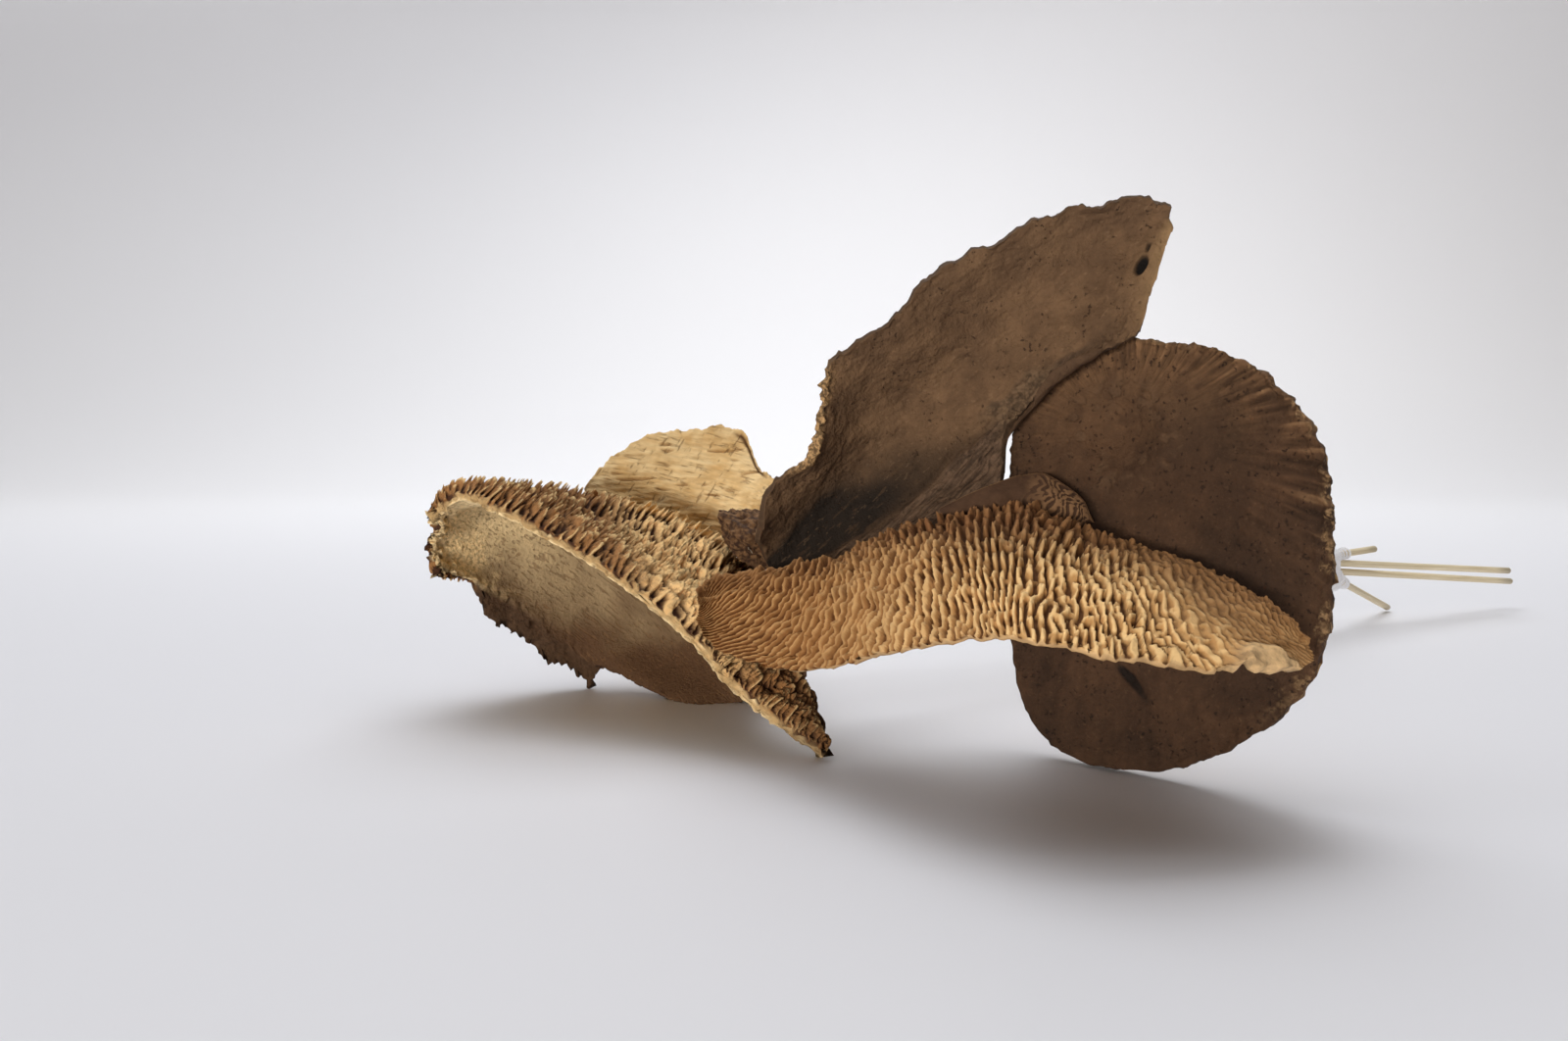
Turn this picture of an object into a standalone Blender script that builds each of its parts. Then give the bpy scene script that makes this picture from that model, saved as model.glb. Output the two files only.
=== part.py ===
"""A bunch of dried bracket mushrooms: six caps, the bark they grew on, four bamboo sticks and their thread.

Sizes are in millimetres until they are handed to Blender. X is to the right, Y away from the front, Z up.
Each cap's outline points are measured from that cap's own place in the bunch.
"""

import math

import bmesh
import bpy
import numpy as np
from mathutils import Vector, noise

MM = 0.001
NAME = "dried_mushroom_bunch"

UP = (0.0, 0.0, 1.0)
FRONTWARD = (0.0, -1.0, 0.0)

# Moves the whole bunch so that the middle of its footprint is the origin.
CENTRE = Vector((100.5, 289.0, 0.0))

# Front cap: the ridge where it hung from the bark, and its free rim, both from left to right.
FRONT_CAP_AT = Vector((47.5, 207.0, 56.5))
FRONT_RIDGE = [
    (-66, 12, -21.5), (-60, 11, -18.5), (-49.5, 9, -17), (-37.5, 7, -14.5), (-27.5, 4, -9), (-15, 1, -4.5),
    (0.5, 0, -3), (13.5, -3, -7.5), (23.5, -10, -10.5), (32.5, -19, -14.5), (37.5, -28, -18.5), (40.5, -34, -23),
]
FRONT_RIM = [
    (-66, 11.5, -29), (-60.5, 9, -34), (-46.5, -4, -35), (-35.5, -17, -30.5), (-27, -29, -25.5), (-17.5, -38, -22),
    (-11, -44, -20.5), (-2, -48, -21.5), (6.5, -49, -23), (19.5, -47, -25), (29, -43, -25.5), (40, -36, -26),
]
FRONT_CAP_THICK = 3.2
FRONT_RIM_THICK = 1.6
FRONT_BULGE = 2.6
FRONT_RIDGES = 22
FRONT_RIDGE_HIGH = 0.9

# Upright cap: upper left edge, hollow middle, fold and lower right edge, all from its base to its tip.
UPRIGHT_CAP_AT = Vector((22.0, 232.0, 64.5))
UPRIGHT_EDGE = [
    (-27.5, 0, -20), (-25, -5, -8.5), (-17.5, -7, -2.5), (-14.5, -9, 6.5), (-12.5, -11, 18.5), (-0.5, -14, 26.5),
    (8, -16, 36), (21.5, -19, 43), (33, -22, 47.5), (40.5, -24, 48.5), (47.5, -25, 49.5), (53.5, -25, 48),
]
UPRIGHT_HOLLOW = [
    (-26, 7, -24), (-11, 5, -9), (2, 0, 6.5), (16, -6, 19), (31, -13, 32.5), (43, -19, 41.5), (53.5, -24, 46.5),
]
UPRIGHT_FOLD = [
    (-22, 6, -26.5), (-8.5, 3, -22), (10.5, -2, -8.5), (22.5, -6, 4.5), (32, -12.5, 15.5), (42, -19.5, 23.5),
    (48, -23.5, 33), (53.5, -23.5, 46),
]
UPRIGHT_LOWER = [
    (-17.5, -1, -25.5), (-7, -5, -21.5), (4, -8, -16.5), (15.5, -10.5, -11.5), (23.5, -11, -6), (25, -9, 4.5),
    (30, -11, 11), (33.5, -14, 17), (40, -19, 21), (47, -24.5, 23), (50.7, -24, 33.5), (54.5, -23.5, 44.5),
]
UPRIGHT_THICK = 3.4
UPRIGHT_RIM_THICK = 1.3

# Round cap: reach of its rim from its old middle, at bearings counted from its right side upwards.
ROUND_CAP_AT = Vector((69.5, 215.0, 68.03))
ROUND_TURN = (85.0, 0.0, -38.0)
ROUND_BEARINGS = [1, 19, 35, 58, 81, 111, 145, 173, 194, 216, 238, 250, 256, 265, 274, 285, 294, 303, 314, 325, 333, 346]
ROUND_REACH = [
    37.5, 31, 27, 21.5, 20, 20.5, 21.5, 23, 24, 28, 40, 56, 65, 68, 68.5, 67.5, 65, 62.5, 58.5, 50.5, 46, 41.5,
]
ROUND_THICK = 4.2
ROUND_RIM_THICK = 2.6
ROUND_DISH = 3.0

# Left cap: near margin, roof, crest, far wall and foot, all from its left end to its tip.
LEFT_CAP_AT = Vector((-44.5, 234.0, 39.0))
LEFT_NEAR = [
    (-39, 14, 9), (-31, 10, 14), (-23, 7, 11.5), (-12.5, 3, 7), (0, -1, 0.5), (12.5, -7, -7), (26, -13.5, -17),
    (31.5, -15, -23.5), (43, -16.5, -32.5), (53, -18, -39),
]
LEFT_ROOF = [
    (-41, 18, 8.5), (-31.5, 18, 12), (-19.5, 18, 10), (-7.5, 16, 5), (7, 12, -2), (21.5, 6, -9.5), (35.5, 0, -16),
    (48, -6, -25.5),
]
LEFT_CREST = [
    (-42, 22, 5), (-34.5, 28, 9.5), (-23.5, 34, 10.5), (-12, 38, 9), (3.5, 38, 6), (19, 34, 0.5), (32, 26, -7.5),
    (43.5, 14, -13),
]
LEFT_WALL = [
    (-42.5, 23, -0.5), (-31.5, 34, -3.5), (-18, 41, -11), (-3, 44, -19.5), (15.5, 41, -25.5), (29, 33, -27),
    (42, 22, -24),
]
LEFT_FOOT = [
    (-39.5, 20, -3.5), (-32.5, 32, -9), (-20, 40, -20), (-8, 42, -30.5), (3, 37, -34.5), (14, 31, -38),
    (22.5, 27, -39.5), (33, 28, -38.5), (44.5, 24, -31),
]
LEFT_THICK = 4.6
LEFT_RIM_THICK = 3.0
LEFT_RIDGES = 17
LEFT_RIDGE_HIGH = 1.0
LEFT_RAGGED_DROP = 8.0

# Back cap: its base, middle and torn upper edge, all from left to right.
BACK_CAP_AT = Vector((-21.0, 277.5, 43.0))
BACK_BASE = [(-30, 4, 0), (-19, 6, -3), (-5.5, 6, -5.5), (8, -1, -6), (15.5, -14, -3)]
BACK_MIDDLE = [(-31.5, 5, 7.5), (-22.5, 10, 10), (-6.5, 12, 11.5), (8, 7, 10), (18.5, -9, 7)]
BACK_TOP = [(-33, 6, 11), (-28.5, 12, 18), (-18.5, 17, 25), (-3, 20, 27.5), (9, 20, 26.5), (14, 10, 16.5), (19.5, -3, 13)]
BACK_THICK = 3.4

# Small cap: base and rim of the lobe behind the ridge of the front cap, from left to right.
SMALL_CAP_AT = Vector((52.0, 213.0, 51.5))
SMALL_BASE = [(-19.5, 0, -1.5), (-9.5, -1.5, -1), (-3.5, -1.5, -0.5), (3.5, -2, -1.5), (8, -3, -3.5)]
SMALL_RIM = [
    (-20, 1, 1.5), (-14, 1, 4.5), (-9, 1.5, 6.5), (-3.5, 3, 8.2), (2, 3, 8.5), (6.5, 2, 6), (9.5, 0, 3), (10, -3, -0.5),
]
SMALL_THICK = 1.6

# Bark left between the left, back and upright caps.
BARK_AT = Vector((-7.0, 251.0, 43.5))
BARK_HALF = Vector((9.0, 9.5, 6.5))

# Sticks: the end in the bunch, the height where the stick crosses the others at the tie, and its reach past the tie.
STICK_THICK = 2.5
TIE_AT = Vector((195.5, 364.5, 22.1))
STICKS = {
    "long_stick_1": ((-8, 280, 41), 24.0, 91.0),
    "long_stick_2": ((-1, 260.5, 42), 21.0, 109.0),
    "short_stick_1": ((59, 228, 71), 17.9, 61.5),
    "short_stick_2": ((3.4, 231.5, 22.5), 27.1, 24.0),
}

# Thread: the coil's half width and half height, its turns and their pitch, its turn and how far it sits before
# the crossing, and the strand itself.
TIE_HALF_WIDE = 3.7
TIE_HALF_HIGH = 7.2
TIE_TURNS = 4
TIE_PITCH = 1.15
TIE_TURN = -56.0
TIE_BACK = 8.0
THREAD_THICK = 0.8


def collection(name):
    """Return a new collection linked to the scene."""
    made = bpy.data.collections.new(name)
    bpy.context.scene.collection.children.link(made)
    return made


def material(name, colour, roughness):
    """Return a plain Principled material."""
    made = bpy.data.materials.new(name)
    made.use_nodes = True
    shader = made.node_tree.nodes["Principled BSDF"]
    shader.inputs["Base Color"].default_value = (*colour, 1.0)
    shader.inputs["Roughness"].default_value = roughness
    shader.inputs["Metallic"].default_value = 0.0
    return made


def pull(place, count):
    """Return how strongly each of count evenly spaced points pulls on a smooth line at each place from 0 to 1."""
    along = place * (count - 1)
    span = np.clip(np.floor(along).astype(int), 0, count - 2)
    f = along - span
    share = {
        -1: -0.5 * f + f**2 - 0.5 * f**3,
        0: 1 - 2.5 * f**2 + 1.5 * f**3,
        1: 0.5 * f + 2 * f**2 - 1.5 * f**3,
        2: -0.5 * f**2 + 0.5 * f**3,
    }
    rows = np.arange(len(place))
    weights = np.zeros((len(place), count + 2))
    for step, amount in share.items():
        weights[rows, span + step + 1] += amount
    # A point beyond either end is the mirror image of its neighbour through the end point.
    weights[:, 1] += 2 * weights[:, 0]
    weights[:, 2] -= weights[:, 0]
    weights[:, count] += 2 * weights[:, count + 1]
    weights[:, count - 1] -= weights[:, count + 1]
    return weights[:, 1 : count + 1]


def surface(curves, u, v):
    """Return the points at u along and v across a smooth sheet through the given lines."""
    across = pull(v, len(curves))
    total = np.zeros((len(u), 3))
    for k, points in enumerate(curves):
        total += across[:, k : k + 1] * (pull(u, len(points)) @ np.array(points, float))
    return total


def facing(curves, u, v, toward):
    """Return the sheet's unit normals at u and v, on the side that mostly faces the given way."""
    step = 0.004
    low_u = np.clip(u - step, 0, 1)
    high_u = np.clip(u + step, 0, 1)
    low_v = np.clip(v - step, 0, 1)
    high_v = np.clip(v + step, 0, 1)
    along = surface(curves, high_u, v) - surface(curves, low_u, v)
    across = surface(curves, u, high_v) - surface(curves, u, low_v)
    normal = np.cross(along, across)
    normal /= np.maximum(np.linalg.norm(normal, axis=1, keepdims=True), 1e-9)
    return normal if np.sum(normal @ np.array(toward)) > 0 else -normal


def lumps(points, size, seed):
    """Return smooth seeded bumps between about -1 and 1 at points given in millimetres."""
    shift = Vector((seed * 7.3, seed * 3.1, seed * 5.7))
    return np.array([noise.noise(Vector(p) / size + shift) for p in points])


def finish(mesh, name, at, group, skin):
    """Turn a bmesh in millimetres into a named object standing at its place."""
    bmesh.ops.recalc_face_normals(mesh, faces=mesh.faces[:])
    bmesh.ops.scale(mesh, verts=mesh.verts[:], vec=(MM, MM, MM))
    data = bpy.data.meshes.new(name)
    mesh.to_mesh(data)
    mesh.free()
    made = bpy.data.objects.new(name, data)
    made.location = (at - CENTRE) * MM
    made.data.materials.append(skin)
    group.objects.link(made)
    return made


def sheet(curves, along, across, shape):
    """Return a closed sheet: shape gives the place of each point from u, v and whether it's on the far side."""
    mesh = bmesh.new()
    bmesh.ops.create_grid(mesh, x_segments=along, y_segments=across, size=0.5)
    grown = bmesh.ops.extrude_face_region(mesh, geom=mesh.faces[:])
    far = {item for item in grown["geom"] if isinstance(item, bmesh.types.BMVert)}
    u = np.array([vert.co.x + 0.5 for vert in mesh.verts])
    v = np.array([vert.co.y + 0.5 for vert in mesh.verts])
    is_far = np.array([vert in far for vert in mesh.verts])
    for vert, place in zip(mesh.verts, shape(np.clip(u, 0, 1), np.clip(v, 0, 1), is_far)):
        vert.co = place
    return mesh


def near_edge(v, start, end):
    """Return 1 in the middle of the sheet and 0 at the edges where start or end asks for thinning."""
    thin = np.ones(len(v))
    if start:
        thin = np.minimum(thin, v / start)
    if end:
        thin = np.minimum(thin, (1 - v) / end)
    return np.clip(thin, 0, 1) ** 0.6


def gill_ridges(points, count):
    """Return ridges from 0 to 1 that spread out from the cap's own place like the ribs of a fan."""
    bearing = np.arctan2(points[:, 0], 6.0 - points[:, 1])
    waver = 0.35 * lumps(points, 14.0, 3)
    return 0.5 + 0.5 * np.cos(bearing * count * 2.0 + waver * 5.0)


def make_front_cap(group, skin):
    middle = [((a[0] + b[0]) / 2, (a[1] + b[1]) / 2, (a[2] + b[2]) / 2) for a, b in zip(FRONT_RIDGE, FRONT_RIM)]
    bulged = [(x, y, z + FRONT_BULGE * math.sin(math.pi * (k + 0.5) / 12)) for k, (x, y, z) in enumerate(middle)]
    tucked = [(x, y + 3.5, z - 3.5) for x, y, z in FRONT_RIDGE]
    curves = [tucked, FRONT_RIDGE, bulged, FRONT_RIM]

    def shape(u, v, is_far):
        base = surface(curves, u, v)
        normal = facing(curves, u, v, UP)
        inner = near_edge(v, 0.15, 0.4) * near_edge(u, 0.06, 0.06)
        thick = FRONT_RIM_THICK + (FRONT_CAP_THICK - FRONT_RIM_THICK) * inner
        ridge = FRONT_RIDGE_HIGH * gill_ridges(base, FRONT_RIDGES) * inner + 0.5 * lumps(base, 9.0, 5)
        away = np.where(is_far, -thick, ridge)
        return base + normal * away[:, None]

    finish(sheet(curves, 66, 10, shape), "front_cap", FRONT_CAP_AT, group, skin)


def make_upright_cap(group, skin):
    curves = [UPRIGHT_EDGE, UPRIGHT_HOLLOW, UPRIGHT_FOLD, UPRIGHT_LOWER]

    def shape(u, v, is_far):
        base = surface(curves, u, v)
        normal = facing(curves, u, v, FRONTWARD)
        inner = near_edge(v, 0.2, 0.35) * near_edge(u, 0.08, 0.2)
        thick = UPRIGHT_RIM_THICK + (UPRIGHT_THICK - UPRIGHT_RIM_THICK) * inner
        bump = 0.5 * lumps(base, 11.0, 9)
        away = np.where(is_far, -thick + 0.6 * lumps(base, 5.0, 11) * inner, bump)
        return base + normal * away[:, None]

    finish(sheet(curves, 30, 10, shape), "upright_cap", UPRIGHT_CAP_AT, group, skin)


def make_round_cap(group, skin):
    bearings = np.array(ROUND_BEARINGS)
    reaches = np.array(ROUND_REACH)

    def shape(u, v, is_far):
        a = 2 * u - 1
        b = 2 * v - 1
        x = a * np.sqrt(1 - b**2 / 2)
        y = b * np.sqrt(1 - a**2 / 2)
        out = np.hypot(x, y)
        bearing = np.degrees(np.arctan2(y, x)) % 360
        reach = np.interp(bearing, bearings, reaches, period=360)
        place = np.stack([x * reach, y * reach, ROUND_DISH * out**2], 1)
        rim = np.clip((1 - out) / 0.25, 0, 1) ** 0.6
        thick = ROUND_RIM_THICK + (ROUND_THICK - ROUND_RIM_THICK) * rim
        navel = -1.4 * np.exp(-((out * reach / 6.0) ** 2)) + 0.8 * np.exp(-(((out * reach - 9.0) / 3.0) ** 2))
        ribs = 0.5 * out * np.cos(np.radians(bearing) * 23 + 2.0 * lumps(place, 12.0, 4))
        away = np.where(is_far, -thick + 0.6 * lumps(place, 6.0, 6), navel + ribs * rim + 0.6 * lumps(place, 13.0, 2))
        place[:, 2] += away
        return place

    made = finish(sheet(None, 20, 20, shape), "round_cap", ROUND_CAP_AT, group, skin)
    made.rotation_euler = [math.radians(angle) for angle in ROUND_TURN]


def make_left_cap(group, skin):
    curves = [LEFT_NEAR, LEFT_ROOF, LEFT_CREST, LEFT_WALL, LEFT_FOOT]

    def shape(u, v, is_far):
        base = surface(curves, u, v)
        normal = facing(curves, u, v, UP)
        inner = near_edge(v, 0.1, 0.25) * near_edge(u, 0.06, 0.1)
        thick = LEFT_RIM_THICK + (LEFT_THICK - LEFT_RIM_THICK) * inner
        rows = 0.5 + 0.5 * np.cos(u * LEFT_RIDGES * 2 * math.pi + 3.0 * v + 2.0 * lumps(base, 10.0, 8))
        blades = LEFT_RIDGE_HIGH * rows * inner + 0.8 * lumps(base, 4.0, 12) * inner
        place = base + normal * np.where(is_far, thick + blades, 0.4 * lumps(base, 12.0, 7))[:, None]
        ragged = np.clip((v - 0.8) / 0.2, 0, 1) * np.clip((u - 0.08) / 0.05, 0, 1) * np.clip((0.43 - u) / 0.05, 0, 1)
        place[:, 2] -= np.where(is_far, LEFT_RAGGED_DROP * ragged * (0.8 + 0.5 * lumps(base, 5.0, 15)), 0)
        place[:, 2] = np.maximum(place[:, 2], -LEFT_CAP_AT.z)
        return place

    finish(sheet(curves, 54, 11, shape), "left_cap", LEFT_CAP_AT, group, skin)


def make_back_cap(group, skin):
    curves = [BACK_BASE, BACK_MIDDLE, BACK_TOP]

    def shape(u, v, is_far):
        base = surface(curves, u, v)
        normal = facing(curves, u, v, FRONTWARD)
        inner = near_edge(v, 0.0, 0.3) * near_edge(u, 0.15, 0.15)
        thick = 1.6 + (BACK_THICK - 1.6) * inner
        away = np.where(is_far, -thick, 0.6 * lumps(base, 8.0, 21))
        return base + normal * away[:, None]

    finish(sheet(curves, 16, 6, shape), "back_cap", BACK_CAP_AT, group, skin)


def make_small_cap(group, skin):
    curves = [SMALL_BASE, SMALL_RIM]

    def shape(u, v, is_far):
        base = surface(curves, u, v)
        normal = facing(curves, u, v, FRONTWARD)
        bulge = 1.6 * np.sin(math.pi * v) + 0.3 * lumps(base, 3.0, 31)
        away = np.where(is_far, bulge - SMALL_THICK, bulge)
        return base + normal * away[:, None]

    finish(sheet(curves, 14, 5, shape), "small_cap", SMALL_CAP_AT, group, skin)


def make_bark(group, skin):
    mesh = bmesh.new()
    bmesh.ops.create_icosphere(mesh, subdivisions=2, radius=1.0)
    bumps = lumps([vert.co for vert in mesh.verts], 0.6, 41)
    for vert, bump in zip(mesh.verts, bumps):
        vert.co *= 1.0 + 0.22 * bump
    bmesh.ops.scale(mesh, verts=mesh.verts[:], vec=BARK_HALF)
    finish(mesh, "bark_stub", BARK_AT, group, skin)


def stick_ends(start, height, past):
    """Return both ends of a stick that passes the tie at the given height and goes on past it."""
    crossing = Vector((TIE_AT.x, TIE_AT.y, height))
    run = (crossing - Vector(start)).normalized()
    return Vector(start), crossing + run * past


def make_stick(name, start, end, group, skin):
    mesh = bmesh.new()
    radius = STICK_THICK / 2
    bmesh.ops.create_cone(
        mesh, cap_ends=True, segments=10, radius1=radius, radius2=radius, depth=(end - start).length
    )
    made = finish(mesh, name, (start + end) / 2, group, skin)
    made.rotation_euler = (end - start).to_track_quat("Z", "Y").to_euler()


def make_thread(group, skin):
    """Wind one thread round the sticks where they cross, as an upright coil with round corners."""
    curve = bpy.data.curves.new("thread_path", "CURVE")
    curve.dimensions = "3D"
    curve.bevel_depth = THREAD_THICK / 2 * MM
    curve.bevel_resolution = 0
    curve.use_fill_caps = True
    line = curve.splines.new("POLY")
    steps = 16 * TIE_TURNS
    line.points.add(steps)
    for k, point in enumerate(line.points):
        angle = 2 * math.pi * k / 16
        wide = math.copysign(math.sqrt(abs(math.cos(angle))), math.cos(angle)) * TIE_HALF_WIDE
        high = math.copysign(math.sqrt(abs(math.sin(angle))), math.sin(angle)) * TIE_HALF_HIGH
        travel = (k / steps - 0.5) * TIE_TURNS * TIE_PITCH
        point.co = (wide * MM, travel * MM, high * MM, 1.0)
    made = bpy.data.objects.new("thread_tie", curve)
    turn = math.radians(TIE_TURN)
    made.location = (TIE_AT - CENTRE - Vector((-math.sin(turn), math.cos(turn), 0.0)) * TIE_BACK) * MM
    made.rotation_euler = (0.0, 0.0, turn)
    curve.materials.append(skin)
    group.objects.link(made)


for item in list(bpy.data.objects):
    bpy.data.objects.remove(item)

BUNCH = collection(NAME)
make_front_cap(BUNCH, material("gill_tan", (0.46, 0.29, 0.13), 0.85))
make_upright_cap(BUNCH, material("cap_brown", (0.24, 0.17, 0.11), 0.85))
make_round_cap(BUNCH, material("cap_dark", (0.13, 0.085, 0.05), 0.85))
make_left_cap(BUNCH, material("blade_brown", (0.36, 0.24, 0.12), 0.9))
make_back_cap(BUNCH, material("woody_yellow", (0.62, 0.48, 0.26), 0.85))
make_small_cap(BUNCH, material("lobe_brown", (0.26, 0.16, 0.08), 0.85))
make_bark(BUNCH, material("bark_dark", (0.07, 0.04, 0.03), 0.9))
BAMBOO = material("bamboo", (0.68, 0.56, 0.36), 0.6)
for STICK, (START, HEIGHT, PAST) in STICKS.items():
    make_stick(STICK, *stick_ends(START, HEIGHT, PAST), BUNCH, BAMBOO)
make_thread(BUNCH, material("white_thread", (0.85, 0.86, 0.9), 0.8))
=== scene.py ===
"""The looks of a bunch of dried bracket mushroom caps on bamboo sticks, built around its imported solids.

Sizes are in millimetres until a piece is finished. X is to the right, Y away from the front, Z up.
Each cap's outline points are measured from that cap's own place in the bunch.
"""

import math

import bmesh
import bpy
import numpy as np
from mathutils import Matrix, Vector, noise


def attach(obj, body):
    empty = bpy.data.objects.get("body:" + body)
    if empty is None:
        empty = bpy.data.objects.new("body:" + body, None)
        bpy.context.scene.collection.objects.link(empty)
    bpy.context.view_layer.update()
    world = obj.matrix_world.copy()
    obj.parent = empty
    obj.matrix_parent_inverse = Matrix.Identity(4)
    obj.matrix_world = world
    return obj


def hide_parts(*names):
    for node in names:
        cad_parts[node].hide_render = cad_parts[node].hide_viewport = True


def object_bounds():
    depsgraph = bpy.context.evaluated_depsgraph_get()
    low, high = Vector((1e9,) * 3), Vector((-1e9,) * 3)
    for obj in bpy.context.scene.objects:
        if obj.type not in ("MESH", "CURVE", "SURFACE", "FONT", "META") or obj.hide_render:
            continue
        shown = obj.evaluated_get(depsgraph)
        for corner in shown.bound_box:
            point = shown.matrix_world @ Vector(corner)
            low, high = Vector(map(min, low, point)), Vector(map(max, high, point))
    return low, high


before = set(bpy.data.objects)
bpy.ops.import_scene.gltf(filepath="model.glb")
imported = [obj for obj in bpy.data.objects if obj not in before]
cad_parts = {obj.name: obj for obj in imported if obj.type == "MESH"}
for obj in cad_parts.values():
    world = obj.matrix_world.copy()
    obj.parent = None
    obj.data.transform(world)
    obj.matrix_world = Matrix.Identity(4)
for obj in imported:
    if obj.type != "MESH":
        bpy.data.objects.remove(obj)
CAD_LOW, CAD_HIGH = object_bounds()

# Front cap
# The wide fan in front is a dried bracket with its gills up. They are thin stiff plates that fork as they
# spread from the place where the cap hung on the bark, and they break up into pores toward the right end.
MM = 0.001
CENTRE = np.array([100.5, 289.0, 0.0])
UP = (0, 0, 1)
FRONT_CAP_AT = (47.5, 207.0, 56.5)
FRONT_RIDGE = [
    (-66, 12, -21.5), (-60, 11, -18.5), (-49.5, 9, -17), (-37.5, 7, -14.5), (-27.5, 4, -9), (-15, 1, -4.5),
    (0.5, 0, -3), (13.5, -3, -7.5), (23.5, -10, -10.5), (32.5, -19, -14.5), (37.5, -28, -18.5),
    (40.5, -34, -23),
]
FRONT_RIM = [
    (-66, 11.5, -29), (-60.5, 9, -34), (-46.5, -4, -35), (-35.5, -17, -30.5), (-27, -29, -25.5),
    (-17.5, -38, -22), (-11, -44, -20.5), (-2, -48, -21.5), (6.5, -49, -23), (19.5, -47, -25),
    (29, -43, -25.5), (40, -36, -26),
]
FRONT_THICK = 3.2
FRONT_RIM_THICK = 1.1
FRONT_BULGE = 2.6
FRONT_TUCK = 3.5
FRONT_LEAN = [(0, 0.3), (0.3, 0.14), (0.545, 0), (0.8, -0.14), (1, -0.3)]
FRONT_GILL_HIGH = 2.0
FRONT_ALONG = 560
FRONT_ACROSS = 152
GILL_SPACING = 1.55


def pull(place, count):
    """Return how strongly each of count evenly spaced points pulls on a smooth line at places from 0 to 1."""
    along = place * (count - 1)
    span = np.clip(np.floor(along).astype(int), 0, count - 2)
    f = along - span
    share = {
        -1: -0.5 * f + f**2 - 0.5 * f**3,
        0: 1 - 2.5 * f**2 + 1.5 * f**3,
        1: 0.5 * f + 2 * f**2 - 1.5 * f**3,
        2: -0.5 * f**2 + 0.5 * f**3,
    }
    rows = np.arange(len(place))
    weights = np.zeros((len(place), count + 2))
    for step, amount in share.items():
        weights[rows, span + step + 1] += amount
    # A point beyond either end is the mirror image of its neighbour through the end point.
    weights[:, 1] += 2 * weights[:, 0]
    weights[:, 2] -= weights[:, 0]
    weights[:, count] += 2 * weights[:, count + 1]
    weights[:, count - 1] -= weights[:, count + 1]
    return weights[:, 1 : count + 1]


def surface(curves, u, v):
    """Return the points at u along and v across a smooth sheet through the given lines."""
    across = pull(v, len(curves))
    total = np.zeros((len(u), 3))
    for k, points in enumerate(curves):
        total += across[:, k : k + 1] * (pull(u, len(points)) @ np.array(points, float))
    return total


def facing(curves, u, v, toward):
    """Return the sheet's unit normals at u and v, on the side that mostly faces the given way."""
    step = 0.004
    along = surface(curves, np.clip(u + step, 0, 1), v) - surface(curves, np.clip(u - step, 0, 1), v)
    across = surface(curves, u, np.clip(v + step, 0, 1)) - surface(curves, u, np.clip(v - step, 0, 1))
    normal = np.cross(along, across)
    normal /= np.maximum(np.linalg.norm(normal, axis=1, keepdims=True), 1e-9)
    return normal if np.sum(normal @ np.array(toward)) > 0 else -normal


def lumps(points, size, seed):
    """Return smooth seeded bumps between about -1 and 1 at points given in millimetres."""
    moved = points / size + seed * np.array([7.3, 3.1, 5.7])
    return np.array([noise.noise(place) for place in moved.tolist()])


def ease(value, start, end):
    """Return 0 before start and 1 after end, with a smooth rise between."""
    share = np.clip((value - start) / (end - start), 0, 1)
    return share * share * (3 - 2 * share)


def between(value, start, full, fade, end):
    """Return a smooth rise from start to full, then a smooth fall from fade to end."""
    return ease(value, start, full) * (1 - ease(value, fade, end))


def bell(value, middle, wide):
    """Return 1 at the middle, with a smooth fall on both sides."""
    return np.exp(-(((value - middle) / wide) ** 2))


def near_edge(v, start, end):
    """Return 1 in the middle of the sheet and 0 at the edges where start or end asks for thinning."""
    thin = np.ones(len(v))
    if start:
        thin = np.minimum(thin, v / start)
    if end:
        thin = np.minimum(thin, (1 - v) / end)
    return np.clip(thin, 0, 1) ** 0.6


def rungs_of(form):
    """Return the edges that join the two levels of a form."""
    return [edge for edge in form.edges if abs(edge.verts[0].co.z - edge.verts[1].co.z) > 0.5]


def sheet_form(along, across, near_cuts, far_cuts):
    """Return a square two-sided form with x and y from 0 to 1, and each side divided as finely as asked."""
    form = bmesh.new()
    bmesh.ops.create_grid(form, x_segments=along, y_segments=across, size=0.5)
    bmesh.ops.translate(form, verts=form.verts[:], vec=(0.5, 0.5, 0))
    grown = bmesh.ops.extrude_face_region(form, geom=form.faces[:])["geom"]
    far_side = [item for item in grown if isinstance(item, bmesh.types.BMVert)]
    bmesh.ops.translate(form, verts=far_side, vec=(0, 0, 1))
    bmesh.ops.subdivide_edges(form, edges=rungs_of(form), cuts=3, use_grid_fill=True)
    for high, cuts in ((0, near_cuts), (1, far_cuts)):
        level = [edge for edge in form.edges if all(abs(vert.co.z - high) < 1e-4 for vert in edge.verts)]
        if cuts:
            bmesh.ops.subdivide_edges(form, edges=level, cuts=cuts, use_grid_fill=True)
    return form


def places_of(form):
    """Return the x, y and z of a form's points as three arrays."""
    return np.array([vert.co[:] for vert in form.verts]).T


def laid(form, curves, toward):
    """Return u, v and side of a two-sided form's points, where they lie on a sheet, and its normals there."""
    u, v, side = places_of(form)
    return u, v, side, surface(curves, u, v), facing(curves, u, v, toward)


def raised(base, normal, near, far, side):
    """Return the points moved off the sheet, by near on its near side and by far on its far side."""
    return base + normal * (near * (1 - side) + far * side)[:, None]


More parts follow.
